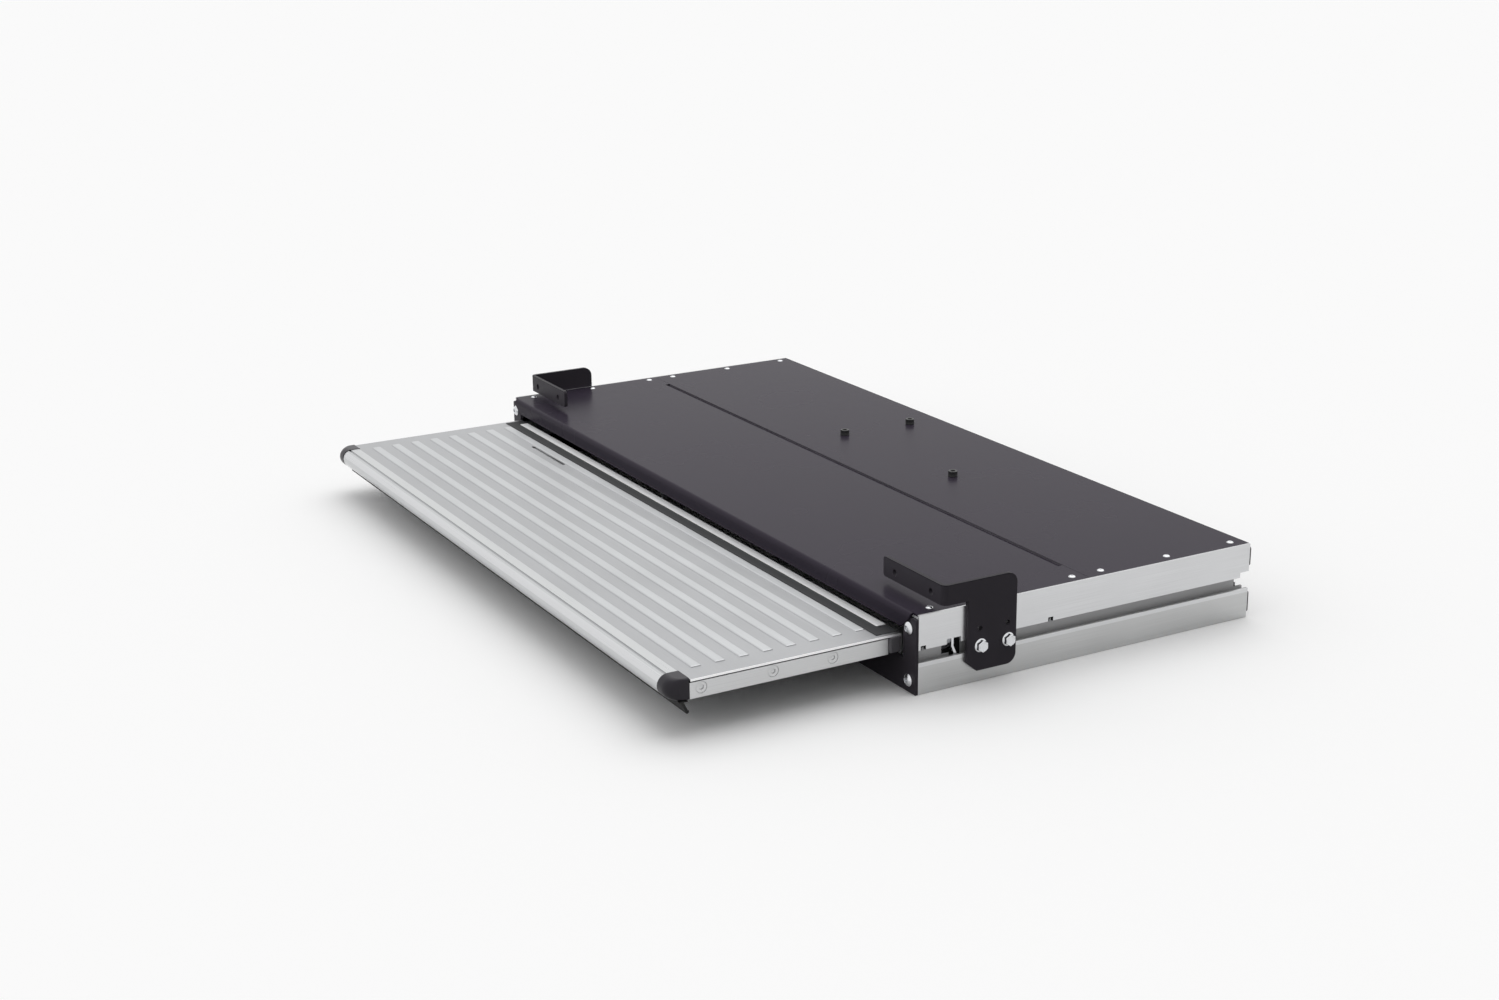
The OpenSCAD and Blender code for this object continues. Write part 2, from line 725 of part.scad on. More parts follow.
module gearbox_screws() {
    lid_z = gearbox_low - gearbox_lid_t;
    color([0.75, 0.75, 0.77])
        for (x = [gearbox_x0 + 8, gearbox_x1 - 8], y = [gearbox_y0 + 8, gearbox_y1 - 8]) {
            rod_z(lid_z, gearbox_low + 10, x, y, 2);
            rod_z(lid_z - 2.4, lid_z, x, y, 3.6);
        }
}

module shaft_bush() {
    color([0.72, 0.58, 0.34]) difference() {
        rod_z(gearbox_top - bush_len, gearbox_top, belt_x, drive_y, bush_r);
        rod_z(gearbox_top - bush_len - past, gearbox_top + past, belt_x, drive_y, shaft_r + fit);
    }
}

module motor_can() {
    color([0.16, 0.16, 0.17]) union() {
        rod_x(gearbox_x1, motor_end, motor_y, motor_z, motor_r);
        rod_x(gearbox_x1, gearbox_x1 + 5, motor_y, motor_z, motor_r + 1.5);
    }
}

module motor_end_cap() {
    color([0.12, 0.12, 0.13]) difference() {
        rod_x(motor_end, motor_end + motor_cap_t, motor_y, motor_z, motor_r - 1);
        for (side = [-1, 1])
            rod_x(motor_end + 0.5, motor_end + motor_cap_t + past, motor_y + side * 11, motor_z,
                2 + fit);
    }
}

// Angle that hangs the motor's far end from the third cap screw
module motor_bracket() {
    x0 = motor_end + motor_cap_t;
    z1 = plate_z;
    color([0.55, 0.56, 0.58]) difference() {
        union() {
            along_x(x0, x0 + plate_t) rounded([motor_y - 18, motor_z - 18], [motor_y + 18, z1], 5);
            along_z(z1 - plate_t, z1)
                rounded([x0, motor_y - 13], [far_screw_x + 9, motor_y + 13], 1.4);
        }
        rod_z(z1 - plate_t - past, z1 + past, far_screw_x, motor_y, m6_r + fit);
        for (side = [-1, 1])
            rod_x(x0 - past, x0 + plate_t + past, motor_y + side * 11, motor_z, 2.2);
    }
}

module motor_end_screws() {
    x0 = motor_end + motor_cap_t + plate_t;
    color([0.75, 0.75, 0.77]) for (side = [-1, 1]) {
        rod_x(motor_end + 0.7, x0, motor_y + side * 11, motor_z, 2);
        rod_x(x0, x0 + 2.4, motor_y + side * 11, motor_z, 3.6);
    }
}

// Plug-in power socket on the back of the gearbox, open to the rear
module power_socket() {
    low = [belt_x - socket_half, gearbox_y1, socket_low];
    high = [belt_x + socket_half, gearbox_y1 + socket_depth, socket_high];
    pin_z = (low[2] + high[2]) / 2;
    color([0.07, 0.07, 0.07]) difference() {
        box(low, high);
        box([low[0] + 3, low[1] + 3, low[2] + 3], [high[0] - 3, high[1] + past, high[2] - 3]);
    }
    color([0.80, 0.66, 0.36]) for (side = [-1, 1])
        box([belt_x + side * 6 - 1.5, low[1] + 2, pin_z - 0.4],
            [belt_x + side * 6 + 1.5, low[1] + 11, pin_z + 0.4]);
}

module idler_bracket() {
    color([0.55, 0.56, 0.58]) difference() {
        along_z(plate_z, cover_z)
            rounded([belt_x - idler_plate_half, idler_y - idler_plate_front],
                [belt_x + idler_plate_half, idler_y + idler_plate_back], 5);
        rod_z(plate_z - past, cover_z + past, belt_x, idler_y, axle_r + 0.02);
    }
}

module idler_axle() {
    color([0.78, 0.79, 0.81]) {
        rod_z(pulley_low - 0.2, cover_z, belt_x, idler_y, axle_r);
        rod_z(pulley_low - 0.9, pulley_low - 0.2, belt_x, idler_y, axle_r + 2.5);
    }
}

// Outline of the belt's loop at radius r round both pulleys
module belt_loop(r) {
    for (y = [idler_y, drive_y]) translate([belt_x, y]) circle(r);
    flat([belt_x - r, idler_y], [belt_x + r, drive_y]);
}

module drive_belt() {
    color([0.07, 0.07, 0.07]) along_z(belt_z, belt_z + belt_w) difference() {
        belt_loop(belt_out_r);
        belt_loop(belt_in_r);
    }
}

// Tread sheet: flat between raised ribs that end short of its sides
module tread_sheet() {
    color([0.74, 0.75, 0.76]) difference() {
        union() {
            along_z(sheet_z, tread_top) {
                flat([-cap_in, seam_y], [cap_in, -tread_back]);
                flat([-tread_half, cap_back + 0.2], [tread_half, -tread_back]);
            }
            for (i = [0:rib_count - 1]) {
                y1 = rubber_y - i * rib_pitch;
                along_x(-rib_half, rib_half)
                    polygon([[y1 - rib_w, tread_top - 0.5], [y1 - rib_w, tread_top],
                        [y1 - rib_w + 1.6, tread_top + rib_h], [y1 - 1.6, tread_top + rib_h],
                        [y1, tread_top], [y1, tread_top - 0.5]]);
            }
        }
        along_z(sheet_z - past, tread_top + past)
            translate([drain_x, drain_y]) {
                flat([-drain_len / 2, -drain_r], [drain_len / 2, drain_r]);
                for (side = [-1, 1]) translate([side * drain_len / 2, 0]) circle(drain_r);
            }
    }
}

// Hollow bullnose along the front of the tread, with a ledge for the sheet
module nose_profile() {
    color([0.80, 0.81, 0.82]) along_x(-cap_in, cap_in) difference() {
        union() {
            translate([nose_y, nose_z]) circle(nose_r);
            flat([nose_y, tread_base], [seam_y, nose_top]);
            flat([seam_y - past, sheet_z - 2], [seam_y + 8, sheet_z]);
        }
        translate([nose_y, nose_z]) circle(nose_r - nose_wall);
        flat([nose_y, tread_base + nose_wall], [seam_y - nose_wall, nose_top - nose_wall]);
        flat([groove_y - groove_w / 2, nose_top - groove_h],
            [groove_y + groove_w / 2, nose_top + past]);
    }
}

// End cap: rounds the corner of the nose and plugs its hollow end
module end_cap() {
    corner = 12;
    plug = 12;
    color([0.14, 0.13, 0.15]) {
        intersection() {
            along_x(cap_in, tread_half) {
                translate([cap_y, cap_z]) circle(cap_r);
                flat([cap_y, tread_base], [cap_back, cap_z + cap_r]);
            }
            along_z(tread_base - past, cap_z + cap_r + past) difference() {
                flat([cap_in, -reach - past], [tread_half, cap_back]);
                difference() {
                    flat([tread_half - corner, -reach - past], [tread_half + past, corner - reach]);
                    translate([tread_half - corner, corner - reach]) circle(corner);
                }
            }
        }
        along_x(cap_in - plug, cap_in + past / 2) translate([nose_y, nose_z])
            circle(nose_r - nose_wall - 0.2);
    }
}

module end_cap_right() {
    end_cap();
}

module end_cap_left() {
    mirror([1, 0, 0]) end_cap();
}

// Rubber lip that meets the front crossbar when the tread is in
module nose_seal() {
    y0 = nose_y + 3;
    foot = tread_base - 1.1;
    tip = [y0 + seal_drop / 2, tread_base - seal_drop];
    color([0.07, 0.07, 0.07]) union() {
        along_x(-tread_half + 0.5, tread_half - 0.5)
            polygon([[y0 - 2.4, tread_base], [y0 + 6, tread_base], [y0 + 6, foot],
                [y0 + 0.6 + seal_t / 2, foot], [tip[0] + seal_t / 2, tip[1]],
                [tip[0] - seal_t / 2, tip[1]], [y0 + 0.6 - seal_t / 2, foot], [y0 - 2.4, foot]]);
        rod_x(-tread_half + 0.5, tread_half - 0.5, tip[0], tip[1], seal_t * 0.7);
    }
}

module rubber_strip() {
    color([0.26, 0.26, 0.27]) along_z(tread_top, tread_top + rubber_t)
        flat([-tread_half + 5, rubber_y], [tread_half - 5, -tread_back]);
}

module rear_trim() {
    color([0.87, 0.87, 0.88]) along_z(tread_top + rubber_t, tread_top + rubber_t + trim_t)
        flat([-rib_half, -tread_back - trim_inset - trim_w], [rib_half, -tread_back - trim_inset]);
}

// Side bar with a shadow groove under the sheet's edge and three countersunk holes
module side_bar() {
    color([0.78, 0.79, 0.80]) difference() {
        along_y(cap_back + 0.2, side_bar_rear)
            polygon([[side_bar_in, tread_base], [side_bar_out, tread_base],
                [side_bar_out, sheet_z - 1.7], [side_bar_out - 2, sheet_z - 1.7],
                [side_bar_out - 2, sheet_z], [side_bar_in, sheet_z]]);
        for (y = side_screws_y) {
            rod_x(side_bar_in - past, side_bar_out + past, y, side_screw_z, m6_r + 0.2);
            rod_x(side_bar_out - 3.4, side_bar_out + past, y, side_screw_z, side_screw_r + 0.1);
        }
    }
}

module side_bar_right() {
    side_bar();
}

module side_bar_left() {
    mirror([1, 0, 0]) side_bar();
}

module side_bar_screws() {
    color([0.76, 0.77, 0.78]) both_sides() for (y = side_screws_y) {
        rod_x(arm_in + 1, side_bar_out - 3.4, y, side_screw_z, m6_r);
        difference() {
            rod_x(side_bar_out - 3.4, side_bar_out - 0.3, y, side_screw_z, side_screw_r);
            translate([0, y, side_screw_z]) along_x(side_bar_out - 2, side_bar_out) hexagon(4);
        }
    }
}

// Arm: lies inside the side bar, then runs back between the rails and carries two rollers
module arm() {
    color([0.70, 0.71, 0.72]) difference() {
        along_z(arm_base, sheet_z) {
            flat([arm_in, cap_back + 8], [side_bar_in, arm_back]);
            flat([arm_in, beam_back + 0.7], [arm_wide_out, arm_back]);
        }
        for (y = side_screws_y) rod_x(arm_in - past, side_bar_in + past, y, side_screw_z, m6_r + fit);
        for (y = [front_roller_y, rear_roller_y])
            rod_x(arm_in - past, arm_wide_out + past, y, track_z, axle_r + 0.02);
    }
}

module arm_right() {
    arm();
}

module arm_left() {
    mirror([1, 0, 0]) arm();
}

// Plastic blocks that guide the tread between the rails
module guide_blocks() {
    color([0.12, 0.12, 0.13]) both_sides()
        along_z(tread_base + 1.5, sheet_z) difference() {
            rounded([side_bar_in, side_bar_rear + 0.2], [guide_out, beam_back + 0.5], 1.5);
        }
}

// Channels across the tread, under its sheet
module cross_channels() {
    color([0.70, 0.71, 0.72]) for (y = channels_y) along_x(-arm_in, arm_in) difference() {
        flat([y - channel_w / 2, arm_base], [y + channel_w / 2, sheet_z]);
        flat([y - channel_w / 2 + channel_t, arm_base - past],
            [y + channel_w / 2 - channel_t, sheet_z - channel_t]);
    }
}

// Square tube along the rear of the tread
module rear_beam() {
    color([0.70, 0.71, 0.72]) difference() {
        along_x(-arm_in, arm_in) difference() {
            flat([beam_front, arm_base], [beam_back, sheet_z]);
            flat([beam_front + 2, arm_base + 2], [beam_back - 2, sheet_z - 2]);
        }
        for (x = arm_bolts_x)
            rod_y(beam_back - 3, beam_back + past, x, arm_bolt_z, m5_r + fit);
    }
}

// Upright plate that ties the rear beam to the belt above the tread's path
module belt_arm() {
    color([0.55, 0.56, 0.58]) difference() {
        union() {
            along_x(arm_plate_x, arm_plate_x + arm_plate_t)
                polygon([[beam_back, arm_base + 2], [12, arm_base + 2], [14, belt_z - 1],
                    [clamp_y + clamp_len, belt_z - 1], [clamp_y + clamp_len, belt_z + belt_w - 1],
                    [4, belt_z + belt_w - 1], [4, arm_plate_top], [beam_back, arm_plate_top]]);
            box([arm_plate_x, beam_back, arm_base + 2],
                [arm_plate_x + arm_tab_w, beam_back + arm_tab_t, arm_plate_top]);
        }
        for (x = arm_bolts_x)
            rod_y(beam_back - past, beam_back + arm_tab_t + past, x, arm_bolt_z, m5_r + 0.3);
    }
}

module belt_arm_bolts() {
    tab_back = beam_back + arm_tab_t;
    color([0.80, 0.80, 0.82]) for (x = arm_bolts_x) {
        rod_y(beam_back - 3, tab_back, x, arm_bolt_z, m5_r);
        rod_y(tab_back, tab_back + 2.6, x, arm_bolt_z, 4.4);
    }
}

// Clamp that straddles the belt's right-hand strand
module belt_clamp() {
    color([0.12, 0.12, 0.13]) difference() {
        box([strand_in - 5, clamp_y, belt_z], [arm_plate_x, clamp_y + clamp_len, belt_z + belt_w + 2]);
        box([strand_in - 0.4, clamp_y - past, belt_z - past],
            [strand_out + 0.4, clamp_y + clamp_len + past, belt_z + belt_w + 0.4]);
    }
}

// Shouldered pins that carry the rollers
module roller_axles() {
    color([0.82, 0.83, 0.85]) both_sides() for (y = [front_roller_y, rear_roller_y]) {
        rod_x(arm_in - 3, arm_in, y, track_z, axle_r + 3);
        rod_x(arm_in, axle_end, y, track_z, axle_r);
        rod_x(arm_wide_out, roller_in - 0.2, y, track_z, shoulder_r);
    }
}

module roller_clips() {
    color([0.85, 0.85, 0.87]) both_sides() for (y = [front_roller_y, rear_roller_y]) difference() {
        rod_x(roller_out + 0.2, roller_out + 0.2 + clip_t, y, track_z, axle_r + 2.4);
        rod_x(roller_out - past, axle_end + past, y, track_z, axle_r + 0.02);
    }
}

module roller(y) {
    color([0.13, 0.13, 0.14]) difference() {
        rod_x(roller_in, roller_out, y, track_z, roller_r);
        rod_x(roller_in - past, roller_out + past, y, track_z, axle_r + fit);
        translate([roller_out - 1, y, track_z]) rotate([0, 90, 0]) rotate_extrude()
            flat([roller_r - 3.4, 0], [roller_r - 1.6, 1 + past]);
    }
}

module front_roller_right() {
    roller(front_roller_y);
}

module front_roller_left() {
    mirror([1, 0, 0]) roller(front_roller_y);
}

module rear_roller_right() {
    roller(rear_roller_y);
}

module rear_roller_left() {
    mirror([1, 0, 0]) roller(rear_roller_y);
}

module drive_shaft() {
    color([0.80, 0.81, 0.83])
        rod_z(gearbox_low - gearbox_lid_t + 1.5, pulley_top + 0.8, belt_x, drive_y, shaft_r);
}

// Toothed pulley with a flange above and below the belt
module pulley(y, bore_r) {
    color([0.20, 0.20, 0.21]) difference() {
        union() {
            difference() {
                rod_z(pulley_low + pulley_flange_t, pulley_top - pulley_flange_t, belt_x, y, pulley_r);
                for (i = [0:pulley_teeth - 1])
                    translate([belt_x, y, 0]) rotate([0, 0, i * 360 / pulley_teeth])
                        along_z(pulley_low, pulley_top)
                            polygon([[pulley_r - groove_depth, -groove_low],
                                [pulley_r + past, -groove_top], [pulley_r + past, groove_top],
                                [pulley_r - groove_depth, groove_low]]);
            }
            for (z = [pulley_low, pulley_top - pulley_flange_t])
                rod_z(z, z + pulley_flange_t, belt_x, y, pulley_flange_r);
        }
        rod_z(pulley_low - past, pulley_top + past, belt_x, y, bore_r);
    }
}

module drive_pulley() {
    pulley(drive_y, shaft_r + 0.02);
}

module idler_pulley() {
    pulley(idler_y, axle_r + fit);
}

side_rail_right();
side_rail_left();
front_cover();
rear_cover();
front_crossbar();
rear_plate();
bracket_right();
bracket_left();
bracket_bolts();
slot_nuts();
front_plate_bolts();
rear_plate_screws();
cover_rivets();
drive_cap_screws();
track_clips();
drive_plate();
gearbox_housing();
gearbox_lid();
gearbox_screws();
shaft_bush();
motor_can();
motor_end_cap();
motor_bracket();
motor_end_screws();
power_socket();
idler_bracket();
idler_axle();
drive_belt();
tread_sheet();
nose_profile();
end_cap_right();
end_cap_left();
nose_seal();
rubber_strip();
rear_trim();
side_bar_right();
side_bar_left();
side_bar_screws();
arm_right();
arm_left();
guide_blocks();
cross_channels();
rear_beam();
belt_arm();
belt_arm_bolts();
belt_clamp();
roller_axles();
roller_clips();
front_roller_right();
front_roller_left();
rear_roller_right();
rear_roller_left();
drive_shaft();
drive_pulley();
idler_pulley();
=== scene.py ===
# %% [markdown]
# # A caravan step that slides out of its cassette
# The step is a flat box that hangs under the doorway. Two aluminium rails carry a black cover,
# and a ribbed tread slides out between them. The solids come measured from a CAD model, and
# this lesson dresses them: it rounds their edges, rebuilds what a plain solid shows poorly,
# and gives every piece a finish made from nodes. All lengths are in metres.

# %% Load the measured frame
import math

import bmesh
import bpy
from mathutils import Matrix, Vector
from mathutils.geometry import tessellate_polygon


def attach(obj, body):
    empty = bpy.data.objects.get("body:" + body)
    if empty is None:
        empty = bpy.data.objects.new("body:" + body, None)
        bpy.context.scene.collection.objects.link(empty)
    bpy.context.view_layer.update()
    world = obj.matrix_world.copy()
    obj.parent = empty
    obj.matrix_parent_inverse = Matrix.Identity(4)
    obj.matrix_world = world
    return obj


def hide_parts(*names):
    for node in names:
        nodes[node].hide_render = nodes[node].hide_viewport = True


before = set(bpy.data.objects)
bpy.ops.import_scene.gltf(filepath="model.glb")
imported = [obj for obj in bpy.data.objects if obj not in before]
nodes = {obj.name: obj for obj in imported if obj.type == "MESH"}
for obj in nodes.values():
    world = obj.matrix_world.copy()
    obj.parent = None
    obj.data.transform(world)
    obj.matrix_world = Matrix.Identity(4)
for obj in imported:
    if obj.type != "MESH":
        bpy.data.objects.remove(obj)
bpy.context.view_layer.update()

# %% [markdown]
# ## The camera
# A photograph of a flat thing gives its camera away: the edges of the cover run to vanishing
# points. A pinhole camera was fitted to corners of the rails, so its azimuth, elevation, roll
# and focal length are numbers here, and the object itself stays unturned at the origin.

# %% Camera at the photograph's place
AZIMUTH, ELEVATION, ROLL = math.radians(60.766), math.radians(17.512), math.radians(-0.656)
FOCAL_PX, IMAGE_W, SENSOR_W = 2140.488, 1499, 36.0
CAMERA_PLACE = Vector((1.896984, -0.983755, 0.735494))

back = Vector((math.sin(AZIMUTH) * math.cos(ELEVATION),
               -math.cos(AZIMUTH) * math.cos(ELEVATION), math.sin(ELEVATION)))
level_right = Vector((0, 0, 1)).cross(back).normalized()
level_up = back.cross(level_right)
right = level_right * math.cos(ROLL) + level_up * math.sin(ROLL)
up = level_up * math.cos(ROLL) - level_right * math.sin(ROLL)

camera_data = bpy.data.cameras.new("photo_camera")
camera_data.sensor_fit = "HORIZONTAL"
camera_data.sensor_width = SENSOR_W
camera_data.lens = FOCAL_PX / IMAGE_W * SENSOR_W
camera_data.clip_start, camera_data.clip_end = 0.05, 60
camera = bpy.data.objects.new("photo_camera", camera_data)
bpy.context.scene.collection.objects.link(camera)
camera.matrix_world = Matrix([[right[i], up[i], back[i], CAMERA_PLACE[i]] for i in range(3)]
                             + [[0, 0, 0, 1]])
bpy.context.scene.camera = camera
print("lens %.2f mm" % camera_data.lens)

# %% [markdown]
# ## Light, floor and background
# A studio picture on white needs very little: a world that is brighter on the left, which gives
# the broad shadow its fall to the right, and one wide lamp behind the step that deepens it below
# the tread. The world and the floor are white only to rays from the camera and to mirror rays.
# To all other rays the floor is dark, so that it throws little light back under the step. The
# strengths began as a fit to the floor's shadow in the photograph and were then tuned.

# %% World and lamps
scene = bpy.context.scene
scene.view_settings.view_transform = "Standard"
FILL_RIGHT, FILL_LEFT = 0.22, 1.17
LAMP_TOWARD, LAMP_WIDE, LAMP_POWER = (0.242, -0.346, -0.906), 70, 0.90

world = bpy.data.worlds.new("even_studio")
scene.world = world
world.use_nodes = True
sky = world.node_tree
sky.nodes.clear()
sky_out = sky.nodes.new("ShaderNodeOutputWorld")
fill = sky.nodes.new("ShaderNodeBackground")
fill.inputs["Color"].default_value = (1, 1, 1, 1)
toward = sky.nodes.new("ShaderNodeTexCoord")
parts = sky.nodes.new("ShaderNodeSeparateXYZ")
side = sky.nodes.new("ShaderNodeMapRange")
side.inputs["From Min"].default_value, side.inputs["From Max"].default_value = 1, -1
side.inputs["To Min"].default_value, side.inputs["To Max"].default_value = FILL_RIGHT, FILL_LEFT
sky.links.new(toward.outputs["Generated"], parts.inputs[0])
sky.links.new(parts.outputs["X"], side.inputs["Value"])
sky.links.new(side.outputs[0], fill.inputs["Strength"])
white = sky.nodes.new("ShaderNodeBackground")
white.inputs["Color"].default_value = (1, 1, 1, 1)
white.inputs["Strength"].default_value = 1
ray = sky.nodes.new("ShaderNodeLightPath")
seen = sky.nodes.new("ShaderNodeMath")
seen.operation = "MAXIMUM"
seen_too = sky.nodes.new("ShaderNodeMath")
seen_too.operation = "MAXIMUM"
mixer = sky.nodes.new("ShaderNodeMixShader")
sky.links.new(ray.outputs["Is Camera Ray"], seen.inputs[0])
sky.links.new(ray.outputs["Is Glossy Ray"], seen.inputs[1])
sky.links.new(seen.outputs[0], seen_too.inputs[0])
sky.links.new(ray.outputs["Is Transmission Ray"], seen_too.inputs[1])
sky.links.new(seen_too.outputs[0], mixer.inputs[0])
sky.links.new(fill.outputs[0], mixer.inputs[1])
sky.links.new(white.outputs[0], mixer.inputs[2])
sky.links.new(mixer.outputs[0], sky_out.inputs[0])


def wide_lamp(name, toward, wide, strength):
    """A lamp at infinity that shines along toward and spans the given angle in degrees."""
    data = bpy.data.lights.new(name, "SUN")
    data.angle = math.radians(wide)
    data.energy = strength
    lamp = bpy.data.objects.new(name, data)
    scene.collection.objects.link(lamp)
    lamp.rotation_euler = Vector(toward).to_track_quat("-Z", "Y").to_euler()
    return lamp


wide_lamp("rear_softbox", LAMP_TOWARD, LAMP_WIDE, LAMP_POWER)
print("world from", FILL_RIGHT, "to", FILL_LEFT)

# %% White floor that keeps the shadow
FLOOR_SIDE, FLOOR_DROP, FLOOR_BOUNCE = 30.0, 0.0002, 0.1

floor_mesh = bpy.data.meshes.new("studio_floor")
half = FLOOR_SIDE / 2
floor_mesh.from_pydata([(-half, -half, -FLOOR_DROP), (half, -half, -FLOOR_DROP),
                        (half, half, -FLOOR_DROP), (-half, half, -FLOOR_DROP)], [], [(0, 1, 2, 3)])
floor = bpy.data.objects.new("studio_floor", floor_mesh)
scene.collection.objects.link(floor)

floor_paint = bpy.data.materials.new("studio_white")
floor_paint.use_nodes = True
tree = floor_paint.node_tree
tree.nodes.clear()
out = tree.nodes.new("ShaderNodeOutputMaterial")
plain = tree.nodes.new("ShaderNodeBsdfDiffuse")
plain.inputs["Color"].default_value = (FLOOR_BOUNCE, FLOOR_BOUNCE, FLOOR_BOUNCE, 1)
clean = tree.nodes.new("ShaderNodeBsdfDiffuse")
clean.inputs["Color"].default_value = (1, 1, 1, 1)
path = tree.nodes.new("ShaderNodeLightPath")
either = tree.nodes.new("ShaderNodeMath")
either.operation = "MAXIMUM"
blend = tree.nodes.new("ShaderNodeMixShader")
tree.links.new(path.outputs["Is Camera Ray"], either.inputs[0])
tree.links.new(path.outputs["Is Glossy Ray"], either.inputs[1])
tree.links.new(either.outputs[0], blend.inputs[0])
tree.links.new(plain.outputs[0], blend.inputs[1])
tree.links.new(clean.outputs[0], blend.inputs[2])
tree.links.new(blend.outputs[0], out.inputs[0])
floor_mesh.materials.append(floor_paint)
print("floor", FLOOR_SIDE, "m wide")

# %% [markdown]
# ## Finishes
# A finish is a small node tree. A tone that drifts, a roughness that is not even and a fine
# bump are what separate metal from grey plastic. All patterns read Object coordinates: every
# piece sits at the origin, so a pattern keeps its real size and runs on from piece to piece.
# Values that are the same all over are set on the shader's own sockets.

# %% Helpers for finishes
def finish(name, colour, roughness, metallic=0.0, specular=0.5):
    """A material with one Principled shader; returns it with its tree and shader."""
    material = bpy.data.materials.new(name)
    material.use_nodes = True
    tree = material.node_tree
    tree.nodes.clear()
    out = tree.nodes.new("ShaderNodeOutputMaterial")
    shader = tree.nodes.new("ShaderNodeBsdfPrincipled")
    tree.links.new(shader.outputs[0], out.inputs["Surface"])
    shader.inputs["Base Color"].default_value = (*colour, 1)
    shader.inputs["Roughness"].default_value = roughness
    shader.inputs["Metallic"].default_value = metallic
    shader.inputs["Specular IOR Level"].default_value = specular
    return material, tree, shader


def grain(tree, per_metre, detail=3.0, place=(0, 0, 0)):
    """Noise that repeats about per_metre times along X, Y and Z."""
    where = tree.nodes.new("ShaderNodeTexCoord")
    mapping = tree.nodes.new("ShaderNodeMapping")
    mapping.inputs["Scale"].default_value = per_metre
    mapping.inputs["Location"].default_value = place
    noise = tree.nodes.new("ShaderNodeTexNoise")
    noise.inputs["Scale"].default_value = 1
    noise.inputs["Detail"].default_value = detail
    tree.links.new(where.outputs["Object"], mapping.inputs["Vector"])
    tree.links.new(mapping.outputs[0], noise.inputs["Vector"])
    return noise.outputs["Fac"]


def spread(tree, value, low, high, from_low=0.3, from_high=0.7):
    """The value mapped to run from low to high."""
    scale = tree.nodes.new("ShaderNodeMapRange")
    scale.inputs["From Min"].default_value = from_low
    scale.inputs["From Max"].default_value = from_high
    scale.inputs["To Min"].default_value = low
    scale.inputs["To Max"].default_value = high
    tree.links.new(value, scale.inputs["Value"])
    return scale.outputs[0]


def tint(tree, factor, first, second):
    """Colour between first and second."""
    mix = tree.nodes.new("ShaderNodeMix")
    mix.data_type = "RGBA"
    mix.inputs["A"].default_value = (*first, 1)
    mix.inputs["B"].default_value = (*second, 1)
    tree.links.new(factor, mix.inputs["Factor"])
    return mix.outputs["Result"]


def relief(tree, shader, height, depth, strength=1.0):
    """Bump of that depth in metres."""
    bump = tree.nodes.new("ShaderNodeBump")
    bump.inputs["Distance"].default_value = depth
    bump.inputs["Strength"].default_value = strength
    tree.links.new(height, bump.inputs["Height"])
    tree.links.new(bump.outputs[0], shader.inputs["Normal"])


def darker(colour, share):
    return tuple(c * share for c in colour)


def zone(tree, box):
    """1 inside a box; it gives, for each axis, two distances from the middle in millimetres."""
    where = tree.nodes.new("ShaderNodeTexCoord")
    parts = tree.nodes.new("ShaderNodeSeparateXYZ")
    tree.links.new(where.outputs["Object"], parts.inputs[0])
    inside = None
    for axis, (low, high) in box.items():
        size = tree.nodes.new("ShaderNodeMath")
        size.operation = "ABSOLUTE"
        near = tree.nodes.new("ShaderNodeMath")
        near.operation = "COMPARE"
        near.inputs[1].default_value = (low + high) / 2000
        near.inputs[2].default_value = (high - low) / 2000
        tree.links.new(parts.outputs[axis], size.inputs[0])
        tree.links.new(size.outputs[0], near.inputs[0])
        if inside is None:
            inside = near.outputs[0]
            continue
        both = tree.nodes.new("ShaderNodeMath")
        both.operation = "MULTIPLY"
        tree.links.new(inside, both.inputs[0])
        tree.links.new(near.outputs[0], both.inputs[1])
        inside = both.outputs[0]
    return inside


def swapped(tree, inside, first, second):
    """The first colour, and the second one inside a zone."""
    swap = tree.nodes.new("ShaderNodeMix")
    swap.data_type = "RGBA"
    tree.links.new(inside, swap.inputs["Factor"])
    tree.links.new(first, swap.inputs["A"])
    tree.links.new(second, swap.inputs["B"])
    return swap.outputs["Result"]
